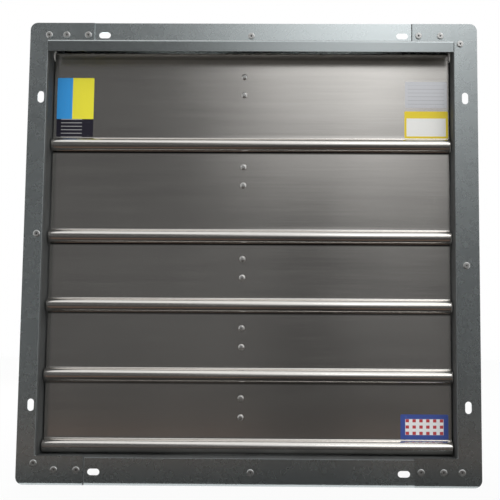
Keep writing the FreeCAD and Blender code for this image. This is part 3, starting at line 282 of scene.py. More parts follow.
@dataclass(frozen=True)
class GalvanisedSheet(Finish):
    """Zinc-coated sheet: soft crystals, rolling streaks and dull handling marks, with zones laid in another
    colour, dark as painted shade unless another is given.
    """

    crystal_scale: float = 150.0
    crystal_spread: float = 0.025
    dulling: float = 0.72
    rolled: Place = (6.0, 6.0, 300.0)
    grime: tuple[Zone, ...] = ()
    grime_colour: Colour = (0.022, 0.021, 0.020)

    def shade(self, surface: Surface) -> None:
        """Lay crystals, streaks and marks over the plain zinc, and the zones' colour on the faces inside them."""
        cells = surface.add("ShaderNodeTexVoronoi", Vector=surface.place, Scale=self.crystal_scale, output="Color")
        crystals = surface.parts(cells)[0]
        streaks = surface.noise(1.0, 3.0, surface.scaled(*self.rolled))
        marks = surface.noise(11.0, 4.0)
        specks = surface.noise(420.0, 1.0).step(0.72, 0.80)
        worn_and_stand_lane = self.tone(surface, 0.3 * crystals + 0.7 * streaks, self.crystal_spread)
        dull = 0.05 * specks + 0.10 * marks.step(0.58, 0.72)
        colour = surface.blend(dull, worn_and_stand_lane, toned(self.colour, self.dulling))
        roughness = self.roughness + 0.02 * (crystals - 0.5) + 0.05 * (marks - 0.5)
        # The zones carry painted shade in the frame's recesses and seams, and a dull grey on the back of the hood.
        if self.grime:
            shade_and_dust_cover = reduce(Signal.largest, map(surface.zone, self.grime)) * (0.8 + 0.2 * marks)
            colour = surface.blend(shade_and_dust_cover, colour, self.grime_colour)
            roughness = roughness + 0.5 * shade_and_dust_cover
            surface.set(Metallic=1.0 - 0.9 * shade_and_dust_cover)
        surface.dress(colour, roughness, streaks, 0.03, 0.2 * MM)


@dataclass(frozen=True)
class RolledAluminium(Finish):
    """Mill-finish sheet: fine grain along the rolling direction, faint scuffs and smears, and lines of painted
    shade.

    The painted shade's top and foot lie down the panel, its gain and end in height, and its band below the hood's
    lip.
    """

    spread: float = 0.22
    scuff_gain: float = 1.18
    stretch: float = 0.3
    stretch_turn: float = 0.25
    # Colour of the painted shade under the beads and under the hood's lip.
    dust_and_painted_shade: Colour = (0.020, 0.019, 0.018)
    bead_shade_top: Span = (3.5 * MM, 6.0 * MM)
    bead_shade_foot: Span = (12.8 * MM, 10.2 * MM)
    shade_height_gain: Span = (-0.20, 0.05)
    shade_height_end: Span = (0.24, 0.20)
    hood_shade_band: Span = (3.4 * MM, 0.9 * MM)
    hood_shade_share: float = 0.35

    def shade(self, surface: Surface) -> None:
        """Lay grain along X, scuffs across it, wide smears, and painted shade under the beads and the hood."""
        grain = surface.noise(1.0, 3.0, surface.scaled(9.0, 900.0, 900.0))
        bands = surface.noise(1.0, 3.0, surface.scaled(5.0, 75.0, 75.0))
        smears = surface.noise(7.0, 3.0)
        scuffs = surface.noise(1.0, 2.0, surface.scaled(420.0, 420.0, 16.0)).step(0.69, 0.76)
        rub = scuffs * surface.noise(14.0, 2.0).step(0.5, 0.65)
        tone = self.tone(surface, 0.25 * grain + 0.4 * bands + 0.35 * smears, self.spread)
        metal = surface.blend(0.5 * rub, tone, toned(self.colour, self.scuff_gain))
        drop = surface.add("ShaderNodeAttribute", settings={"attribute_name": "drop"}, output="Fac")
        height = surface.axes[Axis.Z]
        # Painted shade: a dark line just under each bead, stronger higher up and none on the top blade, and a band
        # on the top blade's roll below the hood's lip.
        amount = (0.65 + 0.3 * height.step(*self.shade_height_gain)) * height.step(*self.shade_height_end)
        lines = amount * drop.step(*self.bead_shade_top) * drop.step(*self.bead_shade_foot)
        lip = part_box("drip_hood")[0].z
        band = self.hood_shade_share * height.step(*(lip - depth for depth in self.hood_shade_band))
        roughness = self.roughness + 0.06 * (grain - 0.5) + 0.09 * (smears - 0.5) + 0.06 * rub
        metal_with_painted_shade = surface.blend(lines.largest(band), metal, self.dust_and_painted_shade)
        surface.dress(metal_with_painted_shade, roughness, 0.8 * grain + 0.2 * rub, 0.05, 0.2 * MM)
        surface.set(Anisotropic=self.stretch, Anisotropic_Rotation=self.stretch_turn)


@dataclass(frozen=True)
class DrawnMetal(Finish):
    """Plated or drawn steel and cast aluminium of fasteners, rods and wire."""

    tarnish: Colour = (0.20, 0.19, 0.17)
    tarnish_share: float = 0.35

    def shade(self, surface: Surface) -> None:
        """Lay patches of tarnish over the plating."""
        patches = surface.noise(150.0, 3.0).step(0.52, 0.72)
        fine = surface.noise(1500.0, 2.0)
        colour = surface.blend(self.tarnish_share * patches, self.tone(surface, fine, 0.08), self.tarnish)
        surface.dress(colour, self.roughness + 0.15 * patches + 0.08 * (fine - 0.5), fine, 0.10, 0.1 * MM)


@dataclass(frozen=True)
class SatinEnamel(Finish):
    """Sprayed enamel with a slight orange peel and a thin dusty film."""

    metallic: float = 0.0
    # Colour of the real dusty film on the paint.
    dust_and_painted_shade: Colour = (0.42, 0.41, 0.38)

    def shade(self, surface: Surface) -> None:
        """Lay orange peel and a thin dusty film over the paint."""
        peel = surface.noise(520.0, 2.0)
        film = surface.noise(26.0, 4.0).step(0.45, 0.80)
        colour = surface.blend(0.10 * film, self.colour, self.dust_and_painted_shade)
        surface.dress(colour, self.roughness + 0.18 * film, peel, 0.22, 0.3 * MM)


@dataclass(frozen=True)
class Moulded(Finish):
    """Moulded plastic or rubber with a fine texture."""

    metallic: float = 0.0

    def shade(self, surface: Surface) -> None:
        """Lay a fine moulded texture and faint rub marks."""
        texture = surface.noise(1800.0, 2.0)
        rub = surface.noise(40.0, 3.0)
        surface.dress(self.tone(surface, rub, 0.15), self.roughness + 0.12 * (rub - 0.5), texture, 0.15, 0.2 * MM)


@dataclass(frozen=True)
class LaminatedSteel(Finish):
    """Stacked electrical sheets with fine lines between them."""

    sheets_per_metre: float = 2000.0

    def shade(self, surface: Surface) -> None:
        """Draw the edges of the stacked sheets round the core."""
        lines = 0.5 + 0.5 * (surface.axes[Axis.Y] * (TURN * self.sheets_per_metre)).sin()
        surface.dress(self.tone(surface, lines, 0.25), self.roughness + 0.1 * lines, lines, 0.3, 0.2 * MM)


@dataclass(frozen=True)
class WoundWire(Finish):
    """Enamelled wire laid in turns."""

    turns_per_metre: float = 1100.0
    sway: float = 9.0

    def shade(self, surface: Surface) -> None:
        """Draw the wires of a bundle side by side."""
        along = reduce(Signal.__add__, surface.axes) * (TURN * self.turns_per_metre)
        wires = 0.5 + 0.5 * (along + self.sway * surface.noise(90.0, 2.0)).sin()
        surface.dress(self.tone(surface, wires, 0.35), self.roughness + 0.1 * (1.0 - wires), wires, 0.6, 0.4 * MM)


ZINC: Colour = (0.625, 0.68, 0.69)
ZINC_ROUGHNESS = 0.27
FINISHES: dict[str, Finish] = {finish.name: finish for finish in (
    GalvanisedSheet("galvanised_sheet", ZINC, ZINC_ROUGHNESS),
    RolledAluminium("blade_aluminium", (0.75, 0.728, 0.695), 0.19),
    DrawnMetal("rivet_metal", (0.62, 0.62, 0.61), 0.36),
    DrawnMetal("zinc_fasteners", (0.68, 0.69, 0.70), 0.28),
    DrawnMetal("bright_rod", (0.60, 0.60, 0.60), 0.24),
    Moulded("bush_nylon", (0.82, 0.81, 0.77), 0.50),
    DrawnMetal("guard_wire", (0.62, 0.63, 0.64), 0.30),
    SatinEnamel("motor_paint", (0.035, 0.037, 0.04), 0.38),
    LaminatedSteel("core_steel", (0.35, 0.35, 0.36), 0.45),
    WoundWire("winding_wire", (0.55, 0.26, 0.12), 0.35),
    DrawnMetal("bearing_bronze", (0.60, 0.44, 0.24), 0.35, tarnish=(0.25, 0.16, 0.08)),
    Moulded("cable_rubber", (0.03, 0.03, 0.03), 0.65),
    Moulded("capacitor_case", (0.05, 0.05, 0.055), 0.42),
    DrawnMetal("spider_steel", (0.52, 0.53, 0.54), 0.38),
)}
OXIDE = DrawnMetal("rivet_core", (0.10, 0.10, 0.10), 0.55, tarnish=(0.05, 0.04, 0.04))


def body_of(node: str) -> str:
    """Name of the body that a CAD node belongs to."""
    bodies = frame["record"]["behaviour"]["bodies"]
    return next(body for body, nodes in bodies.items() if node in nodes)


def middle(node: str) -> Vector:
    """Middle of a CAD node's box."""
    low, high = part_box(node)
    return (low + high) / 2.0


def islands(node: str) -> list[tuple[Vector, Vector]]:
    """Boxes of a CAD node's separate pieces.

    Args:
        node: Name of the node.

    Returns:
        Lowest and highest corner of each piece, from left to right and from the top down.
    """
    work = bmesh.new()
    work.from_mesh(frame["nodes"][node].data)
    bmesh.ops.remove_doubles(work, verts=work.verts, dist=MERGE_LIMIT)
    boxes, left = [], set(work.verts)
    while left:
        queue, spots = [left.pop()], []
        while queue:
            vertex = queue.pop()
            spots.append(vertex.co.copy())
            near = {edge.other_vert(vertex) for edge in vertex.link_edges} & left
            left -= near
            queue.extend(near)
        boxes.append(tuple(Vector([pick(spot[axis] for spot in spots) for axis in Axis]) for pick in (min, max)))
    work.free()
    return sorted(boxes, key=lambda box: (round(box[0].x, 4), -round(box[0].z, 4), round(box[0].y, 4)))


def add_object(name: str, data: bpy.types.ID) -> bpy.types.Object:
    """Put a new object in the scene."""
    made = bpy.data.objects.new(name, data)
    bpy.context.scene.collection.objects.link(made)
    return made


def add_piece(name: str, mesh: bpy.types.Mesh, finish: Finish, body: str) -> bpy.types.Object:
    """Put a finished mesh in the scene and let it ride on a body.

    Args:
        name: Name of the piece.
        mesh: Its mesh, in place.
        finish: Its finish.
        body: Body that it moves with.

    Returns:
        The new object.
    """
    mesh.name = name
    mesh.materials.clear()
    mesh.materials.append(finish.material())
    piece = add_object(name, mesh)
    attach(piece, body)
    log.info("%s rides on %s with %d faces", name, body, len(mesh.polygons))
    return piece


def close_mesh(name: str, work: bmesh.types.BMesh) -> bpy.types.Mesh:
    """Turn a mesh that was being edited into a plain one and let go of the edit."""
    mesh = bpy.data.meshes.new(name)
    work.to_mesh(mesh)
    work.free()
    return mesh


class Growth(Net):
    """A Geometry Nodes tree with named sizes, grown into a piece with a plain mesh."""

    def __init__(self, name: str, slot: str, sizes: dict[str, float], finish: Finish | None = None) -> None:
        """Start a tree.

        Args:
            name: Name of the tree and of its piece.
            slot: The record's material slot whose finish the piece takes.
            sizes: Named inputs with their values.
            finish: Finish of the piece, where it isn't that of its slot.
        """
        super().__init__(bpy.data.node_groups.new(name, "GeometryNodeTree"))
        self.name, self.slot = name, slot
        self.finish = finish or FINISHES[slot]
        self.values: dict[str, float] = {}
        face = self.tree.interface
        for way in ("INPUT", "OUTPUT"):
            face.new_socket(name="Geometry", in_out=way, socket_type="NodeSocketGeometry")
        for label, value in sizes.items():
            kind = "NodeSocketInt" if isinstance(value, int) else "NodeSocketFloat"
            socket = face.new_socket(name=label, in_out="INPUT", socket_type=kind)
            self.values[socket.identifier] = value
        self.entry = self.tree.nodes.new("NodeGroupInput")

    def __getitem__(self, label: str) -> Signal:
        """A named input of the tree."""
        return Signal(self, self.entry.outputs[label])

    def cone(self, facets: int, top: Signal, bottom: Signal, depth: Value, rows: int = 1) -> Signal:
        """A tapered pin that stands on the origin."""
        return self.add("GeometryNodeMeshCone", Vertices=facets, Side_Segments=rows, Radius_Top=top,
                        Radius_Bottom=bottom, Depth=depth)

    def lift(self, shape: Signal, height: Signal) -> Signal:
        """Move a shape along Z."""
        return self.add("GeometryNodeTransform", shape, Translation=self.vector(0.0, 0.0, height))

    def stamp(self, shape: Signal, spots: list[tuple[Vector, Vector]]) -> bpy.types.Object:
        """Set copies of a shape on places and grow them.

        Args:
            shape: Geometry of one copy.
            spots: Place of each copy and the direction that its Z faces.

        Returns:
            The copies as one piece.
        """
        start = bpy.data.meshes.new(f"{self.name}_places")
        start.from_pydata([spot for spot, _ in spots], [], [])
        facing = start.attributes.new("outward", "FLOAT_VECTOR", "POINT")
        facing.data.foreach_set("vector", [value for _, outward in spots for value in outward])
        settings = {"data_type": "FLOAT_VECTOR"}
        outward = self.add("GeometryNodeInputNamedAttribute", settings=settings, Name="outward")
        turn = self.add("FunctionNodeAlignRotationToVector", settings={"axis": "Z"}, Vector=outward)
        copies = self.add("GeometryNodeInstanceOnPoints", self["Geometry"], Instance=shape, Rotation=turn)
        return self.grow(copies, start)

    def grow(self, geometry: Signal, start: bpy.types.Mesh | None = None, wall: float = 0.0,
             body: str = HOUSING) -> bpy.types.Object:
        """End the tree, evaluate it and add the piece.

        Args:
            geometry: What the tree has made.
            start: Mesh that the tree works on, where it needs one.
            wall: Thickness given to an open sheet, half on each side.
            body: Body that the piece moves with.

        Returns:
            The piece, with sharp edges marked.
        """
        real = self.add("GeometryNodeRealizeInstances", geometry)
        shaded = self.add("GeometryNodeSetShadeSmooth", real, Shade_Smooth=True)
        self.add("NodeGroupOutput", self.add("GeometryNodeSetMaterial", shaded, Material=self.finish.material()))
        seed = add_object(f"{self.name}_seed", start or bpy.data.meshes.new(self.name))
        nodes = seed.modifiers.new("nodes", "NODES")
        nodes.node_group = self.tree
        for identifier, value in self.values.items():
            nodes[identifier] = value
        if wall:
            solid = seed.modifiers.new("wall", "SOLIDIFY")
            solid.thickness = wall
            solid.offset = 0.0
        graph = bpy.context.evaluated_depsgraph_get()
        mesh = bpy.data.meshes.new_from_object(seed.evaluated_get(graph))
        bpy.data.objects.remove(seed)
        mesh.set_sharp_from_angle(angle=SMOOTH_LIMIT)
        return add_piece(self.name, mesh, self.finish, body)


@dataclass
class Slat:
    """One shutter blade: rolled edge round its rod, panel, crease and half-round bead."""

    number: int
    bead: float
    seam_degrees: float = 40.0
    clearance: float = 0.05 * MM
    warp: float = 0.18 * MM
    ripple_scale: float = 7.0
    ripple_rise: float = 0.12
    ripple_pitch: float = 0.137
    curl_steps: int = 30
    panel_steps: int = 24
    crease_steps: int = 8
    bead_steps: int = 36
    cross_steps: int = 64

    @property
    def node(self) -> str:
        """Name of the blade's CAD node."""
        return f"shutter_blade_{self.number}"

    def sections(self) -> dict[str, float]:
        """Work the blade's sizes out from its box and its rod.

        Returns:
            Named sizes of the blade's tree in metres.
        """
        low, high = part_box(self.node)
        rod_low, rod_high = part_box(f"pivot_rod_{self.number}")
        pivot = (rod_low + rod_high) / 2.0
        outer = high.y - pivot.y
        sheet = outer - (rod_high.y - rod_low.y) / 2.0 - self.clearance
        crease = pivot.y - outer - self.bead - low.y
        drop = pivot.z - low.z - self.bead
        return {
            "Length": high.x - low.x, "Centre": (low.x + high.x) / 2.0, "Depth": pivot.y, "Height": pivot.z,
            "Sheet": sheet, "Curl": outer - sheet / 2.0, "Panel": drop - self.bead - crease,
            "Crease": crease + sheet / 2.0, "Bead": self.bead - sheet / 2.0, "Warp": self.warp,
        }

    def add(self) -> None:
        """Bend a grid into the blade's section, with each point's drop noted, in place of the CAD node."""
        sizes = self.sections()
        growth = Growth(f"slat_{self.number}", "blade_aluminium", sizes)
        steps = (self.curl_steps, self.panel_steps, self.crease_steps, self.bead_steps)
        total = sum(steps)
        grid = growth.add("GeometryNodeMeshGrid", Size_X=growth["Length"], Size_Y=float(total),
                          Vertices_X=self.cross_steps + 1, Vertices_Y=total + 1)
        x, count, _ = growth.parts(growth.add("GeometryNodeInputPosition"))
        place = count + total / 2.0
        shares = []
        for index, span in enumerate(steps):
            local = (place - float(sum(steps[:index]))).largest(0.0).smallest(float(span))
            shares.append(local / float(span))
        curl, crease, bead = growth["Curl"], growth["Crease"], growth["Bead"]
        drop = growth["Panel"] * shares[1]
        first = math.radians(self.seam_degrees) - math.pi
        roll = first + (math.pi - first) * shares[0]
        fold = shares[2] * -QUARTER
        arch = QUARTER + math.pi * shares[3]
        y = curl * roll.cos() + crease * (fold.cos() - 1.0) + bead * arch.cos()
        z = curl * roll.sin() - drop + crease * fold.sin() + bead * (arch.sin() - 1.0)
        spread = growth.vector(x, shares[1] * self.ripple_rise, self.ripple_pitch * self.number)
        ripple = growth.add("ShaderNodeTexNoise", Vector=spread, Scale=self.ripple_scale, Detail=1.0, output="Fac")
        belly = 4.0 * shares[1] * (1.0 - shares[1])
        y = y + growth["Warp"] * belly * (2.0 * ripple - 1.0)
        spot = growth.vector(x + growth["Centre"], y + growth["Depth"], z + growth["Height"])
        settings = {"data_type": "FLOAT", "domain": "POINT"}
        marked = growth.add("GeometryNodeStoreNamedAttribute", grid, settings=settings, Name="drop", Value=drop)
        bent = growth.add("GeometryNodeSetPosition", marked, Position=spot)
        piece = growth.grow(bent, wall=sizes["Sheet"], body=body_of(self.node))
        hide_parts(self.node)


class Pattern(Enum):
    """Plain generic designs of the stickers."""

    BANDS = "bands"
    RULED = "ruled"
    BORDER = "border"
    BLOCKS = "blocks"


@dataclass(frozen=True)
class PrintedFilm(Finish):
    """Sticker film with a plain printed design, placed by its own edges."""

    pattern: Pattern = Pattern.BANDS
    second: Colour = (0.5, 0.5, 0.5)
    third: Colour = (0.5, 0.5, 0.5)
    metallic: float = 0.0
    bar_colour: Colour = (0.8, 0.8, 0.8)
    scuff_colour: Colour = (0.45, 0.44, 0.42)
    edge: float = 0.006
    column: float = 0.42
    foot: float = 0.30
    band: float = 0.74
    bars: float = 17.0
    rules: float = 7.0
    blocks: Span = (7.0, 4.0)

    def stripes(self, along: Signal, count: float, low: float, high: float) -> Signal:
        """Even stripes across a direction; the two values set how wide and how soft they are."""
        return (along * (TURN * count)).cos().step(low, high)

    def window(self, across: Signal, up: Signal, wide: Span, tall: Span, level: float = 0.5) -> Signal:
        """1 inside a rectangle, by its half width and half height, each with a soft edge."""
        return (across - 0.5).size().step(*wide) * (up - level).size().step(*tall)

    def shade(self, surface: Surface) -> None:
        """Print the design over the film's own flat map."""
        across, up, _ = surface.parts(surface.add("ShaderNodeUVMap", settings={"uv_map": "film"}))
        edge = self.edge
        if self.pattern is Pattern.BANDS:
            column = across.step(self.column + edge, self.column - edge)
            lower = up.step(self.foot + edge, self.foot - edge)
            bars = self.stripes(up, self.bars, 0.75, 0.85) * across.step(0.12, 0.13) * across.step(0.70, 0.69)
            foot = surface.blend(0.5 * bars, self.third, self.bar_colour)
            colour = surface.blend(lower, surface.blend(column, self.second, self.colour), foot)
        elif self.pattern is Pattern.RULED:
            inside = self.window(across, up, (0.44, 0.43), (0.40, 0.39), 0.46)
            rules = self.stripes(up, self.rules, 0.90, 0.97)
            colour = surface.blend(inside * rules * 0.45, self.colour, self.second)
        elif self.pattern is Pattern.BORDER:
            rim = 1.0 - self.window(across, up, (0.455, 0.445), (0.43, 0.415))
            band = up.step(self.band - edge, self.band + edge)
            colour = surface.blend(rim.largest(band), self.colour, self.second)
        else:
            rim = 1.0 - self.window(across, up, (0.405, 0.395), (0.325, 0.31))
            columns, rows = (self.stripes(*pair, -0.1, 0.1) for pair in zip((across, up), self.blocks))
            colour = surface.blend(rim, surface.blend(columns * rows, self.colour, self.third), self.second)
        scuffs = surface.noise(300.0, 3.0).step(0.62, 0.75)
        scuffed = surface.blend(0.12 * scuffs, colour, self.scuff_colour)
        surface.dress(scuffed, self.roughness + 0.15 * scuffs, surface.noise(120.0, 2.0), 0.06, 0.4 * MM)


@dataclass
class Sticker:
    """A thin film on a blade's panel, with rounded corners."""

    name: str
    blade: int
    centre_x: float
    centre_z: float
    width: float
    height: float
    finish: PrintedFilm
    corner: float = 1.6 * MM
    film: float = 0.12 * MM
    gap: float = 0.02 * MM
    corner_steps: int = 5

    def add(self, front: float) -> None:
        """Lay the film on the panel, its edge drawn anticlockwise as seen from the front.

        Args:
            front: Place of the panel's front face along Y.
        """
        work, rim = bmesh.new(), []
        reach_x, reach_z = self.width / 2.0 - self.corner, self.height / 2.0 - self.corner
        for quarter, (side, level) in enumerate(((1, 1), (-1, 1), (-1, -1), (1, -1))):
            for step in range(self.corner_steps + 1):
                angle = QUARTER * (quarter + step / self.corner_steps)
                x = self.centre_x + (side * reach_x + self.corner * math.cos(angle))
                z = self.centre_z + (level * reach_z + self.corner * math.sin(angle))
                rim.append(work.verts.new((x, front - self.gap, z)))
        grown = bmesh.ops.extrude_face_region(work, geom=[work.faces.new(rim)])
        for vertex in (item for item in grown["geom"] if isinstance(item, bmesh.types.BMVert)):
            vertex.co.y -= self.film
        bmesh.ops.recalc_face_normals(work, faces=work.faces)
        flat = work.loops.layers.uv.new("film")
        for loop in (loop for face in work.faces for loop in face.loops):
            spot = loop.vert.co
            loop[flat].uv = ((spot.x - self.centre_x) / self.width + 0.5,
                             (spot.z - self.centre_z) / self.height + 0.5)
        add_piece(self.name, close_mesh(self.name, work), self.finish, body_of(f"shutter_blade_{self.blade}"))


@dataclass
class Shutter:
    """Blades with their beads, and the stickers on two of them."""

    blade_count: int = 5
    stickers: list[Sticker] = field(default_factory=list)

    def add(self) -> None:
        """Build every blade and lay the stickers; the beads end level with the rod of the blade below."""
        low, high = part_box("shutter_blade_1")
        for number in range(1, self.blade_count + 1):
            Slat(number, middle("pivot_rod_2").z - low.z).add()
        pivot = middle("pivot_rod_1").y
        curl = high.y - pivot
        for sticker in self.stickers:
            sticker.add(pivot - curl)


@dataclass
class FrameRivets:
    """Mandrel stubs left in the hollow heads of the blind rivets."""

    core_depth: float = 1.2 * MM
    stub_radius: float = 1.0 * MM
    stub_length: float = 0.75 * MM
    stub_taper: float = 0.72
    stub_facets: int = 14
    stub_rows: int = 2

    def add(self) -> None:
        """Set a broken stub in each rivet's core."""
        spots = []
        for low, high in islands("frame_rivets"):
            core = (low + high) / 2.0
            spots.append((Vector((core.x, low.y + self.core_depth, core.z)), Vector((0.0, -1.0, 0.0))))
        sizes = {"Radius": self.stub_radius, "Length": self.stub_length}
        growth = Growth("mandrel_stubs", "rivet_metal", sizes, OXIDE)
        radius = growth["Radius"]
        pin = growth.cone(self.stub_facets, radius * self.stub_taper, radius, growth["Length"], self.stub_rows)
        growth.stamp(pin, spots)


@dataclass
class PanelScrews:
    """Hex washer-head screws that hold the fan panel in the frame."""

    washer_radius: float = 4.0 * MM
    washer_height: float = 0.7 * MM
    washer_taper: float = 0.9
    washer_facets: int = 28
    hex_radius: float = 3.3 * MM
    hex_facets: int = 6
    head_height: float = 2.4 * MM
    slot_width: float = 0.8 * MM
    slot_depth: float = 0.9 * MM
    shank_radius: float = 1.9 * MM
    shank_taper: float = 0.35
    shank_facets: int = 16
    shank_rows: int = 4

    def add(self) -> None:
        """Stamp a screw on every screw place of the frame's walls."""
        centre = middle("fan_panel")
        spots = []
        for low, high in islands("panel_screws"):
            extent, seat, outward = high - low, (low + high) / 2.0, Vector()
            axis = min(Axis, key=lambda each: extent[each])
            side = 1.0 if seat[axis] > centre[axis] else -1.0
            outward[axis] = side
            seat[axis] = (high[axis] if side > 0 else low[axis]) - side * self.head_height
            spots.append((seat, outward))
        growth = Growth("washer_screws", "zinc_fasteners", {
            "Washer": self.washer_radius, "Hex": self.hex_radius, "Head": self.head_height,
            "Shank": self.shank_radius, "Reach": extent[axis] - self.head_height,
        })
        washer, head, shank, reach = (growth[label] for label in ("Washer", "Head", "Shank", "Reach"))
        collar = growth.cone(self.washer_facets, washer * self.washer_taper, washer, self.washer_height)
        block = growth.add("GeometryNodeMeshCylinder", Vertices=self.hex_facets, Radius=growth["Hex"],
                           Depth=head - 0.5 * self.washer_height)
        block = growth.lift(block, head / 2.0 + 0.25 * self.washer_height)
        slot = growth.vector(self.slot_width, washer * 2.0, 2.0 * self.slot_depth)
        groove = growth.lift(growth.add("GeometryNodeMeshCube", slot), head)
        cut = {"operation": "DIFFERENCE"}
        slotted = growth.add("GeometryNodeMeshBoolean", settings=cut, Mesh_1=block, Mesh_2=groove)
        point = growth.cone(self.shank_facets, shank, shank * self.shank_taper, reach, self.shank_rows)
        sunk = growth.lift(point, -1.0 * reach)
        screw = growth.add("GeometryNodeJoinGeometry", [collar, slotted, sunk])
        piece = growth.stamp(screw, spots)
        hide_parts("panel_screws")


@dataclass
class GuardWelds:
    """Spot welds where the guard's rings meet its spokes and the motor arms."""

    weld_radius: float = 2.1 * MM
    weld_flatness: float = 0.55
    weld_segments: int = 9
    weld_rows: int = 6
    spoke_count: int = 12
    arm_count: int = 4
    first_arm: float = math.pi / 4.0

    def add(self) -> None:
        """Weld the rings to the spokes behind them and to the arms in front of them."""
        axis, rings = middle("motor_shaft"), islands("guard_rings")
        front, rear = rings[0][0].y, rings[0][1].y
        radii = sorted((high.x - low.x - (rear - front)) / 2.0 for low, high in rings)
        spokes = "spoke_welds", self.spoke_count, 0.0, rear
        arms = "arm_welds", self.arm_count, self.first_arm, front
        for name, count, first, plane in (spokes, arms):
            growth = Growth(name, "guard_wire", {
                "Weld": self.weld_radius, "Inner": radii[0], "Step": (radii[-1] - radii[0]) / (len(radii) - 1),
                "Rings": len(radii), "Crossings": count, "First": first, "Plane": plane,
            })
            inner, step = (growth.vector(growth[label], 0.0, 0.0) for label in ("Inner", "Step"))
            hub, still = growth.vector(axis.x, growth["Plane"], axis.z), (0.0, 0.0, 0.0)
            line, hubs = (
                growth.add("GeometryNodeMeshLine", Count=growth[label], Start_Location=start, Offset=offset)
                for label, start, offset in (("Rings", inner, step), ("Crossings", hub, still)))
            angle = growth["First"] + growth.add("GeometryNodeInputIndex") * (TURN / count)
            turn = growth.vector(0.0, angle, 0.0)
            rows = growth.add("GeometryNodeInstanceOnPoints", hubs, Instance=line, Rotation=turn)
            real = growth.add("GeometryNodeRealizeInstances", rows)
            bead = growth.add("GeometryNodeMeshUVSphere", self.weld_segments, self.weld_rows, growth["Weld"])
            flat = growth.add("GeometryNodeTransform", bead, Scale=(1.0, self.weld_flatness, 1.0))
            growth.grow(growth.add("GeometryNodeInstanceOnPoints", real, Instance=flat))


@dataclass
class RunCapacitor:
    """Moulded capacitor case with rounded ends, a filling cap and two tab terminals."""

    end_round: float = 3.0 * MM
    end_steps: int = 6
    rim_round: float = 0.5 * MM
    cap_inset: float = 4.0 * MM
    cap_draft: float = 0.4 * MM
    cap_sink: float = 1.0 * MM
    facets: int = 64
    tab_width: float = 6.3 * MM
    tab_taper: float = 0.7
    tab_sheet: float = 0.8 * MM
    tab_length: float = 6.0 * MM
    tab_root: float = 0.5 * MM
    tab_pitch: float = 12.0 * MM

    def add(self) -> None:
        """Turn the case and stand its terminals on the rear end."""
        low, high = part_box("capacitor")
        centre, radius = (low + high) / 2.0, (high.x - low.x) / 2.0
        front, rear, base = low.y, high.y, high.y - self.cap_sink
        profile = [(front, 0.0), (front, radius - self.end_round)]
        for step in range(1, self.end_steps + 1):
            angle = QUARTER * step / self.end_steps
            profile.append((front + self.end_round * (1.0 - math.cos(angle)),
                            radius - self.end_round * (1.0 - math.sin(angle))))
        inset = radius - self.cap_inset
        profile += [(rear - self.rim_round, radius), (rear, radius - self.rim_round), (rear, inset),
                    (base, inset - self.cap_draft), (base, 0.0)]
        work = bmesh.new()
        line = [work.verts.new((centre.x + reach, along, centre.z)) for along, reach in profile]
        edges = [work.edges.new(pair) for pair in zip(line, line[1:])]
        bmesh.ops.spin(work, geom=line + edges, cent=centre, axis=(0.0, 1.0, 0.0), angle=TURN, steps=self.facets)
        bmesh.ops.remove_doubles(work, verts=work.verts, dist=MERGE_LIMIT)
        for side in (1.0, -1.0):
            for vertex in bmesh.ops.create_cube(work, size=1.0)["verts"]:
                x, y, z = vertex.co
                vertex.co = Vector((
                    centre.x + x * self.tab_sheet + side * self.tab_pitch / 2.0,
                    base + (y + 0.5) * (self.tab_length + self.tab_root) - self.tab_root,
                    centre.z + z * self.tab_width * (self.tab_taper if y > 0.0 else 1.0)))
        bmesh.ops.recalc_face_normals(work, faces=work.faces)
        for face in work.faces:
            face.smooth = True
        mesh = close_mesh("run_capacitor", work)
        mesh.set_sharp_from_angle(angle=SMOOTH_LIMIT)
        piece = add_piece("run_capacitor", mesh, FINISHES["capacitor_case"], HOUSING)
        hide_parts("capacitor")


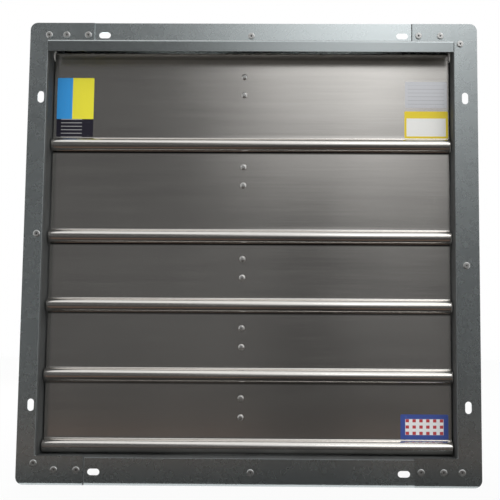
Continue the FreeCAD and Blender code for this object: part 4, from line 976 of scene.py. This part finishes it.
@dataclass
class CarriedNodes:
    """CAD nodes that keep their shapes and get their finishes; the spans set where painted shade and the hood's
    dull grey start and are full.
    """

    upright: Place = (300.0, 6.0, 6.0)
    hood_roughness: float = 0.24
    hood_dust: Colour = (0.50, 0.49, 0.47)
    lap_edge: Span = (1.6 * MM, 1.1 * MM)
    lap_face: Span = (0.0, -0.8 * MM)
    sill_edge: Span = (-2.6 * MM, -1.6 * MM)
    wall_edge: Span = (1.2 * MM, 0.7 * MM)
    wall_face: Span = (-0.5 * MM, 0.5 * MM)
    bend_edge: Span = (2.5 * MM, 1.7 * MM)
    bend_face: Span = (1.0 * MM, 0.2 * MM)
    bend_end: Span = (0.0, 1.0 * MM)
    hood_face: Span = (0.5 * MM, 0.8 * MM)
    hood_top: Span = (-0.2 * MM, -0.6 * MM)

    def add(self) -> None:
        """Dress every CAD node with its own finish or that of its material slot."""
        special = self.special()
        for part in frame["record"]["subparts"]:
            mesh = frame["nodes"][part["node"]].data
            finish = special.get(part["node"], FINISHES[part["material_slot"]])
            mesh.materials.clear()
            mesh.materials.append(finish.material())
            log.info("%s has the finish %s", part["node"], finish.name)

    def special(self) -> dict[str, Finish]:
        """Finishes of single nodes: painted shade in the frame's recesses and seams, zinc toned as painted light
        and shade, and the hood's dull grey back.

        Returns:
            Finish by node.
        """
        def near(axis: Axis, place: float, span: Span, side: float = 1.0) -> tuple[int, float, float]:
            """A limit of a zone, by its distances from a place."""
            return axis, place + side * span[0], place + side * span[1]

        def zinc(name: str, share: float, *grime: Zone, **others: object) -> GalvanisedSheet:
            """Zinc sheet of a lighter or darker tone."""
            options = {"roughness": ZINC_ROUGHNESS, **others}
            return GalvanisedSheet(name, toned(ZINC, share), grime=grime, **options)

        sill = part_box("bottom_rail")[1].z
        (left, lip, _), (right, _, ceiling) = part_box("drip_hood")
        left_lap, right_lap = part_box("left_side_channel")[1].x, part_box("right_side_channel")[0].x
        front, inside, bend = (near(Axis.Y, 0.0, span) for span in (self.lap_face, self.wall_face, self.bend_face))
        ends = near(Axis.Z, sill, self.bend_end), near(Axis.Z, ceiling, self.bend_end, -1.0)
        hood = near(Axis.Y, lip, self.hood_face), near(Axis.Z, ceiling, self.hood_top)
        # The top rail's lighter tone is painted light; the darker tones of the hood and the right channel are
        # painted shade.
        finishes = {
            # Dark strips on the top rail beside the right channel's ear and on the bottom rail beside the left
            # channel's ear are painted seam shadows.
            "top_rail": zinc("top_rail_sheet", 1.08, (near(Axis.X, right_lap, self.lap_edge, -1.0), front)),
            # Painted shade on the bottom rail's sill and the fold at its front.
            "bottom_rail": zinc("bottom_rail_sheet", 1.0, (near(Axis.Z, sill, self.sill_edge),),
                                (near(Axis.X, left_lap, self.lap_edge), front)),
            "drip_hood": zinc("hood_sheet", 0.74, hood, roughness=self.hood_roughness,
                              grime_colour=self.hood_dust),
        }
        # Painted shade on each channel's inner wall and on its bend inside the opening.
        for name, share, wall, side in (("left", 1.0, left, -1.0), ("right", 0.82, right, 1.0)):
            finishes[f"{name}_side_channel"] = zinc(
                f"{name}_channel_sheet", share, (near(Axis.X, wall, self.wall_edge, side), inside),
                (near(Axis.X, wall, self.bend_edge, side), bend, *ends), rolled=self.upright)
        return finishes


@dataclass
class Lamp:
    """A soft box that points at a place."""

    name: str
    place: Place
    target: Place
    width: float
    height: float
    watts: float

    def add(self) -> None:
        """Hang the lamp."""
        light = bpy.data.lights.new(self.name, "AREA")
        light.shape = "RECTANGLE"
        light.size, light.size_y = self.width, self.height
        light.energy = self.watts
        lamp = add_object(self.name, light)
        lamp.location = self.place
        aim = Vector(self.target) - Vector(self.place)
        lamp.rotation_euler = aim.to_track_quat("-Z", "Y").to_euler()


@dataclass
class Studio:
    """Camera, floor, lamps, and the mirrored cloth and screen, whose edge is its top from right to left."""

    level: float
    lamps: list[Lamp]
    camera_place: Place = (0.0770, -1.2, -0.1110)
    camera_turn: Place = (95.280, -0.362, 0.506)
    lens: float = 64.87
    lens_shift: float = -0.1
    sensor: float = 36.0
    floor_edge: tuple[Span, ...] = ((-6.0, -6.0), (6.0, -6.0), (6.0, 6.0), (-6.0, 6.0))
    floor_white: float = 0.92
    world_light: float = 0.8
    screen_place: float = -2.2
    screen_edge: tuple[Span, ...] = ((1.5, 1.3), (0.1, 1.3), (-1.85, 2.6))
    cloth_lift: float = 2.0 * MM
    cloth_edge: tuple[Span, ...] = ((-0.5, -0.004), (0.5, -0.004), (1.05, screen_place), (-1.3, screen_place))
    cloth_threads: tuple[Colour, Colour] = ((0.029, 0.027, 0.025), (0.042, 0.039, 0.036))
    warm_zone: Zone = ((Axis.Y, -0.14, -0.26), (Axis.Y, -0.50, -0.36))
    warm_colour: Colour = (0.145, 0.092, 0.067)
    stand_lane_zone: Zone = ((Axis.X, -0.05, 0.03), (Axis.X, 0.19, 0.11))
    stand_lane_colour: Colour = (0.01, 0.01, 0.01)
    screen_dim: float = 0.105
    screen_bright: float = 0.92
    bright_zone: Zone = ((Axis.Z, 0.1, 1.3), (Axis.X, -0.47, 0.13))
    bright_end: Span = (0.33, 0.83)
    low_lane: Zone = ((Axis.X, -0.12, 0.04), (Axis.X, 0.30, 0.14), (Axis.Z, 0.55, 0.25))
    dim_patch: Zone = ((Axis.X, -0.12, 0.04), (Axis.X, 0.26, 0.12), (Axis.Z, 0.45, 0.55), (Axis.Z, 0.80, 0.68))
    gleam: Zone = ((Axis.X, 0.15, 0.30), (Axis.X, 0.62, 0.46))

    def add_camera(self) -> None:
        """Stand the camera where the photograph was taken from."""
        data = bpy.data.cameras.new("photo_camera")
        data.lens, data.sensor_width, data.shift_x = self.lens, self.sensor, self.lens_shift
        camera = add_object("photo_camera", data)
        camera.location = self.camera_place
        camera.rotation_euler = Euler([math.radians(angle) for angle in self.camera_turn], "XYZ")
        bpy.context.scene.camera = camera

    def seen(self, net: Net) -> Signal:
        """Rays for which the background is white: straight, mirrored and passed through."""
        outputs = net.add("ShaderNodeLightPath").socket.node.outputs
        rays = ("Is Camera Ray", "Is Glossy Ray", "Is Transmission Ray")
        return reduce(Signal.largest, [Signal(net, outputs[name]) for name in rays])

    def sheet(self, surface: Surface, corners: list[Place], mirrored_only: bool = False) -> None:
        """Lay a flat piece of the studio, named like its material and marked as stage.

        Args:
            surface: Its material.
            corners: Its corners in order.
            mirrored_only: Whether it shows in mirrors alone, with no shadow and no light taken from the floor.
        """
        name = surface.material.name
        mesh = bpy.data.meshes.new(name)
        mesh.from_pydata(corners, [], [tuple(range(len(corners)))])
        mesh.materials.append(surface.material)
        piece = add_object(name, mesh)
        piece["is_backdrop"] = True
        if mirrored_only:
            piece.visible_camera = piece.visible_diffuse = piece.visible_shadow = False

    def add_floor(self) -> None:
        """Lay the pale floor under the fan, white to the camera but for the fan's soft shadow."""
        surface = Surface("floor")
        surface.set(Base_Color=(0.9, 0.9, 0.9), Roughness=0.9)
        white = surface.add("ShaderNodeEmission", Color=(1.0, 1.0, 1.0, 1.0), Strength=1.0)
        base = Signal(surface, surface.shader.outputs[0])
        surface.show(surface.add("ShaderNodeMixShader", self.floor_white * self.seen(surface), base, white))
        self.sheet(surface, [(x, y, self.level) for x, y in self.floor_edge])

    def add_cloth(self) -> None:
        """Spread the dark cloth on the floor from the fan to the screen, with a warm strip and a painted dark lane
        in place of the camera stand that the blades reflect.
        """
        surface = Surface("dark_cloth")
        woven = surface.blend(surface.noise(300.0, 2.0), *self.cloth_threads)
        stained = surface.blend(surface.zone(self.warm_zone), woven, self.warm_colour)
        # A dark lane painted in place of the camera stand that the blades reflect.
        worn_and_stand_lane = 0.5 * surface.zone(self.stand_lane_zone)
        surface.set(Base_Color=surface.blend(worn_and_stand_lane, stained, self.stand_lane_colour), Roughness=0.95)
        low = self.level + self.cloth_lift
        self.sheet(surface, [(x, y, low) for x, y in self.cloth_edge], mirrored_only=True)

    def add_screen(self) -> None:
        """Stand the soft screen behind the camera, dim at its foot and left and bright at its upper right."""
        surface = Surface("soft_screen")
        bright = surface.zone(self.bright_zone) * (1.0 - 0.7 * surface.axes[Axis.X].step(*self.bright_end))
        lane, patch, gleam = (surface.zone(zone) for zone in (self.low_lane, self.dim_patch, self.gleam))
        glow = self.screen_dim + self.screen_bright * bright
        glow = glow * (1.0 - 0.35 * lane - 0.2 * patch + 0.25 * gleam)
        tint = surface.vector(glow, glow, glow)
        surface.show(surface.add("ShaderNodeEmission", Color=tint, Strength=1.0))
        foot = [(self.screen_edge[end][0], self.level) for end in (-1, 0)]
        corners = [(x, self.screen_place, z) for x, z in (*foot, *self.screen_edge)]
        self.sheet(surface, corners, mirrored_only=True)

    def add_world(self) -> None:
        """Make the surroundings white, and dimmer as a light."""
        world = bpy.data.worlds.new("studio")
        world.use_nodes = True
        bpy.context.scene.world = world
        net = Net(world.node_tree)
        background = world.node_tree.nodes["Background"]
        background.inputs["Color"].default_value = (1.0, 1.0, 1.0, 1.0)
        strength = self.world_light + (1.0 - self.world_light) * self.seen(net)
        net.fill(background.inputs["Strength"], strength)

    def add(self) -> None:
        """Set the studio up round the fan."""
        bpy.context.scene.view_settings.view_transform = "Standard"
        self.add_camera()
        self.add_floor()
        self.add_cloth()
        self.add_screen()
        self.add_world()
        for lamp in self.lamps:
            lamp.add()


def clear_start() -> None:
    """Remove what a new file holds besides the frame."""
    kept = set(frame["nodes"].values()) | set(frame["bodies"].values())
    for item in list(bpy.data.objects):
        if item not in kept:
            bpy.data.objects.remove(item)


def main() -> None:
    """Build the dressed fan and the studio round it."""
    logging.basicConfig(level=logging.INFO, format="%(message)s")
    clear_start()
    cad_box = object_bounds()
    CarriedNodes().add()
    Shutter(stickers=[
        Sticker("sticker_left", 1, -0.2475, 0.1993, 0.051, 0.083, PrintedFilm(
            "sticker_left", (0.02, 0.33, 0.80), 0.45, pattern=Pattern.BANDS, second=(0.92, 0.84, 0.03),
            third=(0.008, 0.006, 0.02))),
        Sticker("data_plate", 1, 0.2385, 0.2187, 0.058, 0.037, PrintedFilm(
            "data_plate", (0.72, 0.73, 0.76), 0.28, metallic=0.8, pattern=Pattern.RULED,
            second=(0.25, 0.25, 0.25))),
        Sticker("sticker_right", 1, 0.2385, 0.1763, 0.060, 0.038, PrintedFilm(
            "sticker_right", (0.88, 0.88, 0.85), 0.42, pattern=Pattern.BORDER, second=(0.85, 0.66, 0.02))),
        Sticker("sticker_foot", 5, 0.2335, -0.2350, 0.064, 0.033, PrintedFilm(
            "sticker_foot", (0.88, 0.88, 0.88), 0.42, pattern=Pattern.BLOCKS, second=(0.04, 0.08, 0.34),
            third=(0.55, 0.04, 0.05))),
    ]).add()
    FrameRivets().add()
    PanelScrews().add()
    GuardWelds().add()
    RunCapacitor().add()
    Studio(cad_box[0].z, [
        Lamp("key_box", (0.95, -1.7, 1.6), (0.0, 0.0, 0.0), 1.6, 0.8, 8.0),
        Lamp("rear_box", (-1.0, 1.9, 1.2), (0.0, 0.15, 0.0), 1.2, 1.0, 14.0),
    ]).add()


if __name__ == "__main__":
    main()
